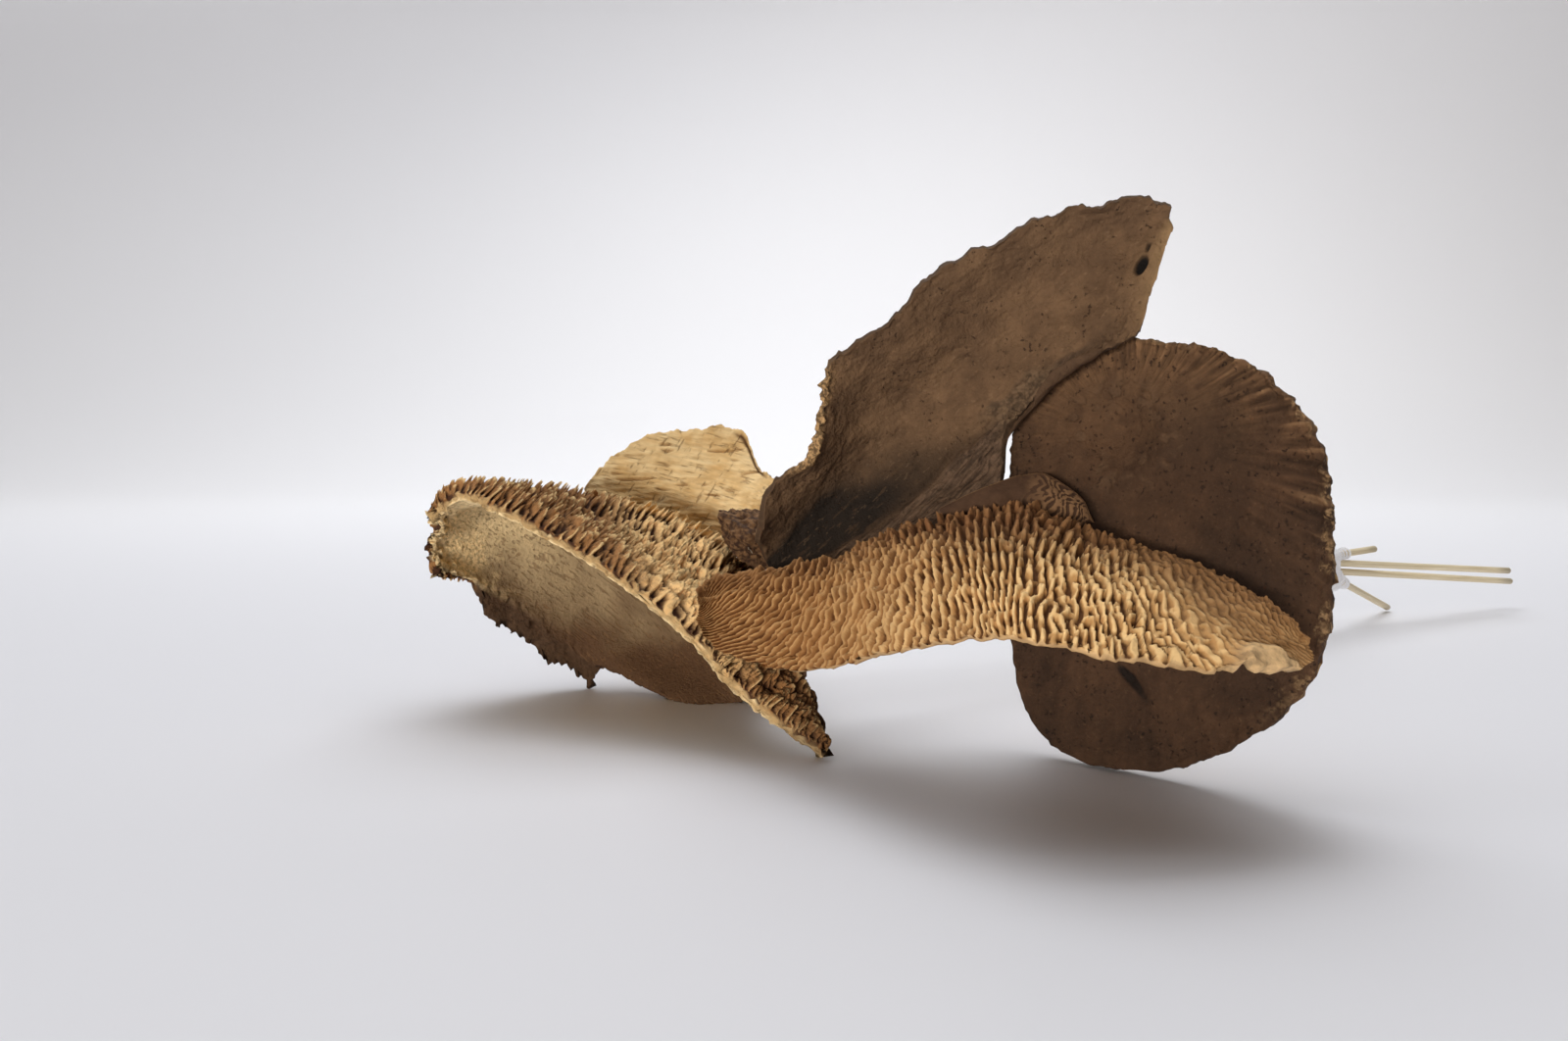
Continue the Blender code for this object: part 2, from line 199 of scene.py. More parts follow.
def grow_gills(rows, columns, widths, spacing, steady, seed):
    """Grow ridges from -1 to 1 on a grid. They run from row to row, and fork where the rows widen.

    steady says for each column how well its ridges hold their course, from 0 for pores to 1 for long gills.
    """
    grown = np.random.default_rng(seed).standard_normal((rows, columns))
    waves = np.arange(columns // 2 + 1)
    wanted = np.maximum(np.asarray(widths, float) / spacing, 3.0)[:, None]
    band = np.exp(-(((waves[None, :] - wanted) / (0.25 * wanted)) ** 2))
    for _ in range(60):
        above = np.vstack([grown[:1], grown[:-1]])
        below = np.vstack([grown[1:], grown[-1:]])
        grown = grown + steady * ((above + below) / 2 - grown)
        grown = np.fft.irfft(np.fft.rfft(grown, axis=1) * band, n=columns, axis=1)
        grown = np.tanh(1.5 * grown / grown.std(axis=1, keepdims=True))
    return grown


def plates(grid, row, column, sharp, plump=0.0):
    """Read grown ridges between their points, from 0 to 1. The grid's columns run round in a ring."""
    rows, columns = grid.shape
    row = np.clip(row, 0, rows - 1.001)
    top = np.floor(row).astype(int)
    left = np.floor(column).astype(int)
    down = row - top
    over = column - left
    upper = grid[top, left % columns] * (1 - over) + grid[top, (left + 1) % columns] * over
    lower = grid[top + 1, left % columns] * (1 - over) + grid[top + 1, (left + 1) % columns] * over
    return 0.5 + 0.5 * np.tanh(sharp * (upper * (1 - down) + lower * down) + plump)


def as_object(form, mesh_name, name, skin):
    """Make a closed form an object of the scene, with its faces outward."""
    bmesh.ops.recalc_face_normals(form, faces=form.faces[:])
    data = bpy.data.meshes.new(mesh_name)
    form.to_mesh(data)
    form.free()
    data.shade_smooth()
    data.materials.append(skin.material)
    made = bpy.data.objects.new(name, data)
    bpy.context.scene.collection.objects.link(made)
    return made


def finish(form, places, marks, at, name, skin):
    """Shape a form, and make it the piece that stands for the solid of the same name."""
    inside = np.clip((places + np.array(at) - CENTRE) * MM, np.array(CAD_LOW), np.array(CAD_HIGH))
    for vert, place in zip(form.verts, inside.tolist()):
        vert.co = place
    for label, values in marks.items():
        layer = form.verts.layers.float.new(label)
        for vert, value in zip(form.verts, values.tolist()):
            vert[layer] = value
    piece = as_object(form, name, name + "_dried", skin)
    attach(piece, "root")
    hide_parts(name)


class Dye:
    """One socket of a material, so that its node maths can be written as an expression."""

    def __init__(self, skin, socket):
        self.skin = skin
        self.socket = socket

    def worked(self, operation, first, second):
        return self.skin.node("ShaderNodeMath", {"operation": operation}, {0: first, 1: second})

    def __add__(self, other):
        return self.worked("ADD", self, other)

    def __radd__(self, other):
        return self.worked("ADD", other, self)

    def __sub__(self, other):
        return self.worked("SUBTRACT", self, other)

    def __rsub__(self, other):
        return self.worked("SUBTRACT", other, self)

    def __mul__(self, other):
        return self.worked("MULTIPLY", self, other)

    def __rmul__(self, other):
        return self.worked("MULTIPLY", other, self)


class Skin:
    """A material while it is being put together."""

    def __init__(self, name):
        self.material = bpy.data.materials.new(name)
        self.material.use_nodes = True
        self.tree = self.material.node_tree
        self.shader = self.tree.nodes["Principled BSDF"]
        self.shader.inputs["Specular IOR Level"].default_value = 0.25
        self.place = self.node("ShaderNodeTexCoord", {}, {}, "Object")

    def plug(self, socket, value):
        """Link or set one socket."""
        if isinstance(value, Dye):
            self.tree.links.new(value.socket, socket)
        else:
            socket.default_value = value

    def node(self, kind, settings, values, output=0):
        """Add a node, and return one of its outputs."""
        made = self.tree.nodes.new(kind)
        for name, value in settings.items():
            setattr(made, name, value)
        for name, value in values.items():
            self.plug(made.inputs[name], value)
        return Dye(self, made.outputs[output])

    def mark(self, name):
        """Return what the mesh stores under a name."""
        return self.node("ShaderNodeAttribute", {"attribute_name": name}, {}, "Fac")

    def cloudy(self, grain, detail=3.0, stretch=(1, 1, 1), turn=(0, 0, 0)):
        """Return soft noise from 0 to 1 whose grain is given in millimetres."""
        values = {"Vector": self.place, "Rotation": turn, "Scale": stretch}
        placed = self.node("ShaderNodeMapping", {"vector_type": "TEXTURE"}, values)
        values = {"Vector": placed, "Scale": 1 / (grain * MM), "Detail": detail}
        return self.node("ShaderNodeTexNoise", {}, values)

    def rise(self, value, start, end):
        """Return 0 below start and 1 above end, with a smooth rise between."""
        values = {"Value": value, "From Min": start, "From Max": end}
        return self.node("ShaderNodeMapRange", {"interpolation_type": "SMOOTHSTEP"}, values)

    def mix(self, share, first, second):
        """Return a colour between two."""
        return self.node("ShaderNodeMix", {"data_type": "RGBA"}, {0: share, 6: first, 7: second}, 2)

    def shaded(self, colour, share, low, high):
        """Return the colour made darker or lighter: low times it at share 0, and high times it at share 1."""
        grey = self.mix(share, (low, low, low, 1), (high, high, high, 1))
        kind = {"data_type": "RGBA", "blend_type": "MULTIPLY"}
        return self.node("ShaderNodeMix", kind, {0: 1.0, 6: colour, 7: grey}, 2)

    def coat(self, colour, roughness, relief, depth):
        """Finish the shader: depth in millimetres is how far the relief stands out."""
        self.plug(self.shader.inputs["Base Color"], colour)
        self.plug(self.shader.inputs["Roughness"], roughness)
        bump = self.node("ShaderNodeBump", {}, {"Height": relief, "Distance": depth * MM, "Strength": 1.0})
        self.plug(self.shader.inputs["Normal"], bump)
        return self


def paint(red, green, blue):
    """Return a colour, given as it looks on a screen from 0 to 255, as a shader wants it."""
    linear = []
    for value in (red, green, blue):
        share = value / 255
        linear.append(share / 12.92 if share < 0.04045 else ((share + 0.055) / 1.055) ** 2.4)
    return (*linear, 1.0)


def front_sheet():
    """Return the four lines that the front cap's sheet runs through."""
    ridge = np.array(FRONT_RIDGE, float)
    middle = (ridge + np.array(FRONT_RIM)) / 2
    middle[:, 2] += FRONT_BULGE * np.sin(math.pi * (np.arange(len(middle)) + 0.5) / len(middle))
    return [ridge + (0, FRONT_TUCK, -FRONT_TUCK), ridge, middle, FRONT_RIM]


def make_front_skin():
    skin = Skin("gill_tan")
    ridge = skin.mark("ridge")
    tone = skin.mark("tone")
    # Gill colours follow ridge height here and below: paler tops and darker pits, partly the gills' own
    # colour, partly painted highlight on the tops and painted shade in the pits.
    top = skin.mix(tone, paint(192, 148, 96), paint(238, 200, 142))
    body = skin.mix(tone, paint(152, 106, 61), paint(194, 150, 96))
    pit = skin.mix(tone, paint(108, 68, 35), paint(98, 63, 32))
    colour = skin.mix(skin.rise(ridge, 0.1, 0.6), pit, skin.mix(skin.rise(ridge, 0.6, 1.0), body, top))
    # Near the hub and along the ridge the gills are darker: partly their own brown, partly painted shade.
    ridge_brown_and_shade = skin.mark("ridge_brown_and_shade") * (0.45 + 0.75 * skin.cloudy(2.5))
    colour = skin.mix(ridge_brown_and_shade, colour, skin.shaded(paint(112, 74, 44), ridge, 0.55, 1.3))
    brown = skin.mark("edge") * (0.4 + 0.8 * skin.cloudy(4.0))
    colour = skin.mix(brown, colour, skin.shaded(paint(122, 87, 52), ridge, 0.6, 1.35))
    colour = skin.shaded(colour, skin.cloudy(7.0), 0.78, 1.2)
    under = skin.shaded(paint(176, 138, 94), skin.cloudy(6.0), 0.8, 1.1)
    colour = skin.mix(skin.rise(skin.mark("side"), 0.3, 0.6), colour, under)
    flesh = skin.shaded(paint(214, 178, 130), skin.rise(skin.cloudy(2.2, 5.0), 0.3, 0.62), 0.6, 1.1)
    colour = skin.mix(skin.mark("flesh"), colour, flesh)
    return skin.coat(colour, 0.85, skin.cloudy(0.5, 5.0), 0.2)


def make_front_cap():
    form = sheet_form(FRONT_ALONG // 4, FRONT_ACROSS // 4, 3, 0)
    u, v, side, base, normal = laid(form, front_sheet(), UP)
    x, _, z = base.T
    start = u + np.interp(u, *np.array(FRONT_LEAN).T) * (v - 0.3)
    start = np.interp(start, [-1, 0.55, 1], [-1, 0.55, 0.9])
    widths = np.interp(np.linspace(0, 1, FRONT_ACROSS + 1), [0, 0.3, 1], [110, 118, 215])
    steady = np.interp(np.linspace(0, 1, FRONT_ALONG), [0, 0.3, 0.5, 0.7, 1], [0.92, 0.88, 0.8, 0.62, 0.5])
    gills = grow_gills(FRONT_ACROSS + 1, FRONT_ALONG, widths, GILL_SPACING, steady, 11)
    loose = np.interp(u, [0, 0.35, 0.8], [0.2, 0.5, 0.85])
    column = start * FRONT_ALONG + loose * (4.0 * lumps(base, 7.0, 3) + 2.2 * lumps(base, 2.5, 2))
    plump = np.interp(u, [0, 0.25, 0.45, 0.7, 1], [-0.5, -0.3, 0.4, 0.4, 0.1])
    ridge = plates(gills, v * FRONT_ACROSS, column, 2.6, plump)
    rightward = ease(x, -30.0, 0.0)
    bridges = ease(lumps(base, 1.5, 4), 0.2, 0.4) * (0.25 + 0.75 * rightward)
    ridge = np.maximum(ridge, 0.85 * bridges)
    near_hub = ease(z, -15.0, -4.0) * ease(x, -34.0, -15.0) * (1 - ease(x, 12.0, 22.0))
    gaps = ease(lumps(base, 1.9, 12), 0.1, 0.34) * (0.25 + 0.35 * rightward + 0.4 * near_hub)
    ridge *= 1 - 0.75 * gaps
    inner = near_edge(v, 0.15, 0.4) * near_edge(u, 0.06, 0.06)
    thick = FRONT_RIM_THICK + (FRONT_THICK - FRONT_RIM_THICK) * inner
    fold = ease(v + 0.05 * lumps(base, 4.0, 18) - 0.08 * ease(u, 0.92, 0.96), 0.8, 0.88)
    fold *= ease(u, 0.83, 0.88)
    rim = near_edge(v, 0.0, 0.04) * near_edge(u, 0.02, 0.02)
    worn = ease(x, 6.0, 26.0) * (0.6 + 0.4 * ease(v, 0.4, 0.7))
    tall = (FRONT_GILL_HIGH + 0.7 * near_hub) * (0.5 + 0.5 * rim)
    tall = tall * (1 - fold) * (1 - (0.72 + 0.16 * (1 - v)) * worn)
    streak = lumps(np.stack([u * 15, v * 45, 0 * u], 1), 1.0, 17)
    high = ridge * (0.95 + 0.75 * lumps(base, 2.4, 6) + 0.4 * lumps(base, 1.0, 14))
    near = tall * (high - 0.42 - 0.4 * ease(z, -16.0, -4.0)) + 0.5 * lumps(base, 9.0, 5)
    near += fold * (1.3 + 1.5 * lumps(base, 5.5, 15) + 0.35 * lumps(base, 2.0, 16)) + 0.36 * worn * streak
    places = raised(base, normal, near, -thick - 0.25 * lumps(base, 1.5, 8), side)
    outward = base / np.maximum(np.linalg.norm(base, axis=1, keepdims=True), 1.0)
    chips = 1.1 * lumps(base, 3.5, 7) + 0.8 * lumps(base, 1.2, 10) - 0.3
    places += outward * (chips * (1 - rim))[:, None]
    notch = bell(u, 0.875, 0.01) - 0.6 * bell(u, 0.925, 0.03)
    places[:, 2] += 1.5 * notch * ease(v, 0.86, 1.0) - 1.8 * ease(u, 0.94, 1.0) * ease(v, 0.6, 1.0)
    places[:, 0] += ease(u, 0.96, 1.0) * (0.8 * ease(v, 0.6, 0.8) - 3.4 * ease(v, 0.82, 1.0))
    edge = ease(x, 2.0, 24.0) * (1 - ease(v, 0.45, 0.9)) + 0.8 * ease(x, 18.0, 32.0)
    marks = {
        "ridge": (ridge + worn * (0.42 - 0.6 * ridge + 0.4 * streak)) * (1 - fold),
        "tone": ease(x + 8 * lumps(base, 16.0, 9), -38.0, -8.0) * ease(v, 0.38, 0.72),
        # Darker brown with painted shade near the hub and along the ridge.
        "ridge_brown_and_shade": np.clip(near_hub + 0.7 * (1 - ease(v, 0.38, 0.58)), 0, 1),
        "side": side,
        "flesh": np.clip(fold + 0.6 * between(side, 0.1, 0.3, 0.7, 0.9), 0, 1),
        "edge": np.clip(edge, 0, 1),
    }
    finish(form, places, marks, FRONT_CAP_AT, "front_cap", make_front_skin())


make_front_cap()

# Upright cap
# The tall blade behind shows its smooth dried skin, hollow along the middle and folded toward its lower edge.
# Its left rim is frayed to pale pores, and its back carries the gills. The hole near its tip is a pit with
# painted shade inside.
FRONTWARD = (0, -1, 0)
UPRIGHT_CAP_AT = (22.0, 232.0, 64.5)
UPRIGHT_EDGE = [
    (-27.5, 0, -20), (-25, -5, -8.5), (-17.5, -7, -2.5), (-14.5, -9, 6.5), (-12.5, -11, 18.5),
    (-0.5, -14, 26.5), (8, -16, 36), (21.5, -19, 43), (33, -22, 47.5), (40.5, -24, 48.5), (47.5, -25, 49.5),
    (53.5, -25, 48),
]
UPRIGHT_HOLLOW = [
    (-26, 7, -24), (-11, 5, -9), (2, 0, 6.5), (16, -6, 19), (31, -13, 32.5), (43, -19, 41.5),
    (53.5, -24, 46.5),
]
UPRIGHT_FOLD = [
    (-22, 6, -26.5), (-8.5, 3, -22), (10.5, -2, -8.5), (22.5, -6, 4.5), (32, -12.5, 15.5), (42, -19.5, 23.5),
    (48, -23.5, 33), (53.5, -23.5, 46),
]
UPRIGHT_LOWER = [
    (-17.5, -1, -25.5), (-7, -5, -21.5), (4, -8, -16.5), (15.5, -10.5, -11.5), (23.5, -11, -6),
    (25, -9, 4.5), (30, -11, 11), (33.5, -14, 17), (40, -19, 21), (47, -24.5, 23), (50.7, -24, 33.5),
    (54.5, -23.5, 44.5),
]
UPRIGHT_THICK = 3.4
UPRIGHT_RIM_THICK = 1.3
UPRIGHT_WIDE = 66.0
UPRIGHT_HOLE = (48.5, -23.0, 37.0)
UPRIGHT_HOLE_HALF = (1.1, 4.0, 2.0)
UPRIGHT_SLIT = (0.2, 0, 3.4)
UPRIGHT_SLIT_HALF = (0.4, 4.0, 0.9)
UPRIGHT_ALONG = 200
UPRIGHT_ACROSS = 220
HIDDEN_GILL_HIGH = 1.1


def slanted(degrees):
    """Return the turn that leans a pattern to the right by some degrees."""
    return (0, math.radians(degrees), 0)


def gilled(skin, low, high, start=0.1, end=0.8):
    """Return the colour of gills, low in the pits between them and high along their edges: partly their own
    colour, partly painted shade in the pits and painted highlight on the edges.
    """
    return skin.mix(skin.rise(skin.mark("ridge"), start, end), low, high)


def make_upright_skin():
    skin = Skin("cap_brown")
    streaks = skin.cloudy(1.6, 4.0, (1, 1, 7), slanted(48))
    colour = skin.mix(skin.rise(skin.cloudy(9.0, 4.0), 0.35, 0.7), paint(98, 74, 53), paint(116, 89, 64))
    colour = skin.shaded(colour, streaks, 0.78, 1.18)
    colour = skin.shaded(colour, skin.cloudy(2.6, 5.0), 0.72, 1.26)
    # Painted shade, with some stain, deep in the hollow low down on the blade.
    dark = skin.shaded(paint(27, 22, 18), skin.cloudy(5.0), 0.6, 1.4)
    colour = skin.mix(skin.mark("hollow"), colour, dark)
    scratches = skin.rise(skin.cloudy(1.1, 5.0, (1, 1, 6), slanted(52)), 0.56, 0.68)
    colour = skin.mix(scratches * 0.4, colour, paint(88, 66, 46))
    specks = skin.rise(skin.cloudy(0.9, 3.0), 0.62, 0.68) * skin.rise(skin.cloudy(6.0), 0.45, 0.6)
    colour = skin.mix(specks * 0.75, colour, paint(56, 40, 28))
    pale = skin.rise(skin.cloudy(0.8, 4.0, (1, 1, 3), slanted(50)), 0.6, 0.7)
    colour = skin.mix(pale * 0.14, colour, paint(160, 130, 100))
    fibres = skin.rise(skin.cloudy(0.8, 4.0, (1, 1, 9), slanted(44)), 0.32, 0.68)
    colour = skin.mix(skin.mark("fibrous"), colour, skin.shaded(paint(92, 72, 56), fibres, 0.55, 1.4))
    # Painted shade along the crease.
    colour = skin.mix(skin.mark("crease") * 0.4, colour, paint(52, 38, 28))
    pitted = skin.shaded(paint(106, 84, 63), skin.rise(skin.cloudy(1.5, 6.0), 0.34, 0.66), 0.55, 1.25)
    colour = skin.mix(skin.mark("rough"), colour, pitted)
    # Painted light on the fibrous right edge toward the tip.
    lit = skin.shaded(paint(176, 142, 100), skin.cloudy(1.2, 5.0, (1, 1, 6), slanted(20)), 0.3, 1.6)
    colour = skin.mix(skin.mark("tip"), colour, lit)
    # Painted shade where the blade's edge past the fold meets the round cap, and on the wall round the rim.
    shade = skin.shaded(paint(72, 54, 39), skin.cloudy(1.5, 4.0), 0.6, 1.4)
    colour = skin.mix(skin.mark("shade"), colour, shade)
    # Painted shade inside the pit near the tip.
    colour = skin.mix(skin.mark("hole"), colour, paint(16, 11, 8))
    gills = gilled(skin, paint(112, 72, 38), paint(214, 176, 122))
    bald = skin.shaded(paint(88, 66, 48), skin.cloudy(1.5, 4.0), 0.6, 1.4)
    gills = skin.mix(skin.mark("worn"), gills, bald)
    colour = skin.mix(skin.rise(skin.mark("side"), 0.8, 0.96), colour, gills)
    pores = skin.shaded(paint(178, 142, 98), skin.rise(skin.cloudy(0.9, 3.0), 0.42, 0.58), 0.35, 1.2)
    colour = skin.mix(skin.mark("frayed") * skin.rise(skin.cloudy(2.2), 0.3, 0.5), colour, pores)
    return skin.coat(colour, 0.85, skin.cloudy(1.0, 9.0) - 0.5 * specks, 0.6)


def far_from(points, at, half):
    """Return how far points are from a place, counted in half sizes along x, y and z."""
    return np.linalg.norm((points - np.array(at)) / np.array(half), axis=1)


def make_upright_cap():
    form = sheet_form(UPRIGHT_ALONG // 2, UPRIGHT_ACROSS // 2, 1, 1)
    curves = [UPRIGHT_EDGE, UPRIGHT_HOLLOW, UPRIGHT_FOLD, UPRIGHT_LOWER]
    u, v, side, base, normal = laid(form, curves, FRONTWARD)
    inner = near_edge(v, 0.2, 0.35) * near_edge(u, 0.08, 0.2)
    thick = UPRIGHT_RIM_THICK + (UPRIGHT_THICK - UPRIGHT_RIM_THICK) * inner * (1 - 0.7 * ease(v, 0.45, 0.6))
    widths = 6 + UPRIGHT_WIDE * np.sin(math.pi * np.linspace(0, 1, UPRIGHT_ALONG + 1) ** 0.9)
    gills = grow_gills(UPRIGHT_ALONG + 1, UPRIGHT_ACROSS, widths, GILL_SPACING, 0.6, 23)
    ridge = plates(gills, u * UPRIGHT_ALONG, v * UPRIGHT_ACROSS + 5 * lumps(base, 4.0, 4), 2.2)
    across_hole = base - np.array(UPRIGHT_HOLE)
    across_hole[:, 0] -= 0.35 * across_hole[:, 2]
    hole = 1 - ease(far_from(across_hole, (0, 0, 0), UPRIGHT_HOLE_HALF), 0.75, 1.1)
    slit = 1 - ease(far_from(across_hole, UPRIGHT_SLIT, UPRIGHT_SLIT_HALF), 0.6, 1.2)
    hole = np.maximum(hole, 0.8 * slit)
    wander = v + 0.03 * lumps(base, 7.0, 18)
    fibrous = ease(wander, 0.62, 0.67) * (1 - ease(u, 0.62, 0.72))
    crease = bell(wander, 0.63, 0.022) * (1 - ease(u, 0.4, 0.55))
    rough = ease(wander, 0.62, 0.68) * ease(u + 0.04 * lumps(base, 4.0, 20), 0.42, 0.5)
    rough *= 1 - ease(u, 0.8, 0.88)
    patch = ease(v + 0.05 * lumps(base, 4.0, 26), 0.56, 0.6) * between(u, 0.42, 0.47, 0.56, 0.63)
    rough = np.maximum(rough, patch)
    frayed = (1 - ease(v, 0.0, 0.06)) * between(u, 0.12, 0.18, 0.33, 0.38)
    ridge *= 1 - 0.6 * ease(lumps(base, 2.2, 24), 0.1, 0.35)
    bald = ease(v, 0.45, 0.55) * between(u, 0.3, 0.4, 0.85, 0.95)
    worn = np.maximum.reduce([ease(v, 0.8, 0.9), 1 - ease(v, 0.03, 0.07), bald])
    bump = 1.0 * lumps(base, 11.0, 9) + 0.45 * lumps(base, 3.0, 12) + 0.2 * lumps(base, 1.2, 21)
    bump += (0.9 * rough + 1.1 * frayed) * lumps(base, 1.3, 13)
    strands = lumps(base @ np.array([[0.7, 0, 0.2], [0, 1, 0], [-0.7, 0, 0.2]]), 1.2, 14)
    pits = ease(lumps(base, 2.6, 25) + 0.5 * lumps(base, 1.0, 27), 0.1, 0.4)
    near = bump + fibrous * 0.9 * strands - 1.1 * hole - 0.7 * crease - 0.6 * rough * pits
    far = -thick - 1.2 * hole + 0.6 * inner * lumps(base, 5.0, 11)
    far -= HIDDEN_GILL_HIGH * (ridge - 0.5) * ease(inner, 0, 0.3) * (1 - worn)
    places = raised(base, normal, near, far, side)
    edge = 1 - np.clip(np.minimum(v, 1 - v) * 12, 0, 1) ** 0.6
    places[:, 2] += edge * (1.3 * lumps(base, 5.0, 15) + 0.8 * lumps(base, 1.1, 16) - 0.3)
    places[:, 2] -= 2.2 * (1 - ease(u, 0.05, 0.16)) * ease(v, 0.1, 0.45)
    places[:, 2] -= 1.0 * bell(u, 0.23, 0.07) * ease(v, 0.8, 1.0)
    places[:, 0] += edge * frayed * (1.8 * lumps(base, 1.7, 19) + 1.3 * lumps(base, 0.8, 22) + 0.6)
    deep = bell(v, 0.52, 0.19) + between(v, 0.2, 0.4, 0.6, 0.64) * (1 - ease(u, 0.12, 0.24))
    low_down = 1 - ease(base[:, 2] + 4 * lumps(base, 9.0, 17), -12.0, 9.0)
    past_fold = 0.3 * ease(wander, 0.62, 0.66) * between(u, 0.6, 0.64, 0.74, 0.82)
    marks = {
        "ridge": ridge,
        "side": side,
        "hole": hole * (side < 0.5),
        "fibrous": fibrous,
        "frayed": frayed,
        # Painted shade with some stain in the hollow.
        "hollow": 0.95 * (np.clip(deep, 0, 1) * low_down * (1 - fibrous)),
        "crease": crease,
        "rough": rough * (1 - ease(u, 0.58, 0.63)),
        # Painted shade past the fold and on the rim's wall.
        "shade": past_fold + 0.8 * ease(side, 0.1, 0.3),
        "worn": worn,
        # Painted light on the right edge toward the tip.
        "tip": 0.65 * ease(u, 0.76, 0.96) * ease(v, 0.4, 1.0),
    }
    finish(form, places, marks, UPRIGHT_CAP_AT, "upright_cap", make_upright_skin())


make_upright_cap()

# Round cap
# The dark cap that stands on its rim behind the fan shows its smooth side: a shallow dish with a ringed navel
# at its old middle, streaks that spread toward a crumbly rim, and the gills on its back.
ROUND_CAP_AT = (69.5, 215.0, 68.03)
ROUND_TURN = (85.0, 0.0, -38.0)
ROUND_OUTLINE = [
    (1, 37.5), (19, 31), (35, 27), (58, 21.5), (81, 20), (111, 20.5), (145, 21.5), (173, 23), (194, 24),
    (216, 28), (238, 40), (250, 56), (256, 65), (265, 68), (274, 68.5), (285, 67.5), (294, 65), (303, 62.5),
    (314, 58.5), (325, 50.5), (333, 46), (346, 41.5),
]
ROUND_THICK = 4.2
ROUND_RIM_THICK = 2.6
ROUND_DISH = 3.0
ROUND_WIDE = 42.0
NAVEL_DEEP = 1.4
SCAR_AT = (5.5, -50.0, 0.0)
SCAR_DEEP = 0.9
ROUND_SPOKES = 480
ROUND_RINGS = 100
ROUND_BACK_RINGS = 56


def fan_form(spokes, near_rings, far_rings):
    """Return a round form of radius 1, spun from one spoke. Its near side is at z = 0, its far side at 1."""
    form = bmesh.new()
    spoke = [form.verts.new((k / near_rings, 0, 0)) for k in range(near_rings + 1)]
    spoke += [form.verts.new((1, 0, k / 4)) for k in range(1, 4)]
    spoke += [form.verts.new((1 - k / far_rings, 0, 1)) for k in range(far_rings + 1)]
    for inner, outer in zip(spoke, spoke[1:]):
        form.edges.new((inner, outer))
    bmesh.ops.spin(
        form, geom=form.verts[:] + form.edges[:], axis=(0, 0, 1), cent=(0, 0, 0), angle=2 * math.pi,
        steps=spokes, use_merge=True,
    )
    bmesh.ops.remove_doubles(form, verts=form.verts[:], dist=1e-5)
    return form


def make_round_skin():
    skin = Skin("cap_dark")
    out = skin.mark("out")
    streak = skin.mark("streak")
    cloud = skin.cloudy(16.0)
    colour = skin.mix(skin.rise(cloud, 0.3, 0.7), paint(54, 37, 25), paint(77, 54, 37))
    colour = skin.mix(skin.mark("upper"), colour, skin.shaded(paint(130, 97, 67), cloud, 0.8, 1.15))
    colour = skin.shaded(colour, streak, 0.45, 1.75)
    colour = skin.shaded(colour, skin.cloudy(2.2, 5.0), 0.66, 1.32)
    dots = skin.rise(skin.cloudy(0.9, 3.0), 0.62, 0.68) * skin.rise(skin.cloudy(5.0), 0.4, 0.55)
    colour = skin.mix(dots * 0.7, colour, paint(38, 26, 18))
    pale = skin.rise(skin.cloudy(0.8, 4.0), 0.6, 0.7)
    colour = skin.mix(pale * 0.12, colour, paint(134, 104, 76))
    threads = skin.rise(streak, 0.6, 0.95) * skin.rise(out, 0.72, 0.95) * skin.mark("frayed")
    light = skin.shaded(paint(150, 116, 82), skin.cloudy(1.2, 4.0), 0.6, 1.3)
    colour = skin.mix(threads * 0.55, colour, light)
    colour = skin.mix(skin.rise(skin.mark("scar"), 0.15, 0.6), colour, paint(28, 19, 13))
    stain = skin.rise(skin.cloudy(6.0, 6.0), 0.5, 0.62)
    colour = skin.mix(stain * 0.45, colour, paint(66, 46, 32))
    navel = skin.shaded(paint(96, 72, 52), skin.cloudy(1.6, 5.0), 0.35, 1.5)
    colour = skin.mix(skin.mark("navel"), colour, navel)
    gills = gilled(skin, paint(118, 80, 46), paint(204, 166, 116))
    gills = skin.shaded(gills, skin.cloudy(8.0, 4.0), 0.7, 1.15)
    colour = skin.mix(skin.rise(skin.mark("side"), 0.8, 0.96), colour, gills)
    patches = skin.rise(skin.cloudy(7.0), 0.4, 0.54)
    at_rim = skin.rise(out + 0.15 * skin.cloudy(3.0), 1.02, 1.06)
    crumb = at_rim * skin.rise(skin.cloudy(1.0, 4.0), 0.4, 0.62) * patches
    tan = skin.shaded(paint(150, 120, 86), skin.rise(skin.cloudy(0.9, 4.0), 0.36, 0.62), 0.5, 1.2)
    colour = skin.mix(crumb * skin.mark("frayed"), colour, tan)
    return skin.coat(colour, 0.82, skin.cloudy(1.0, 9.0) - 0.5 * dots, 0.6)


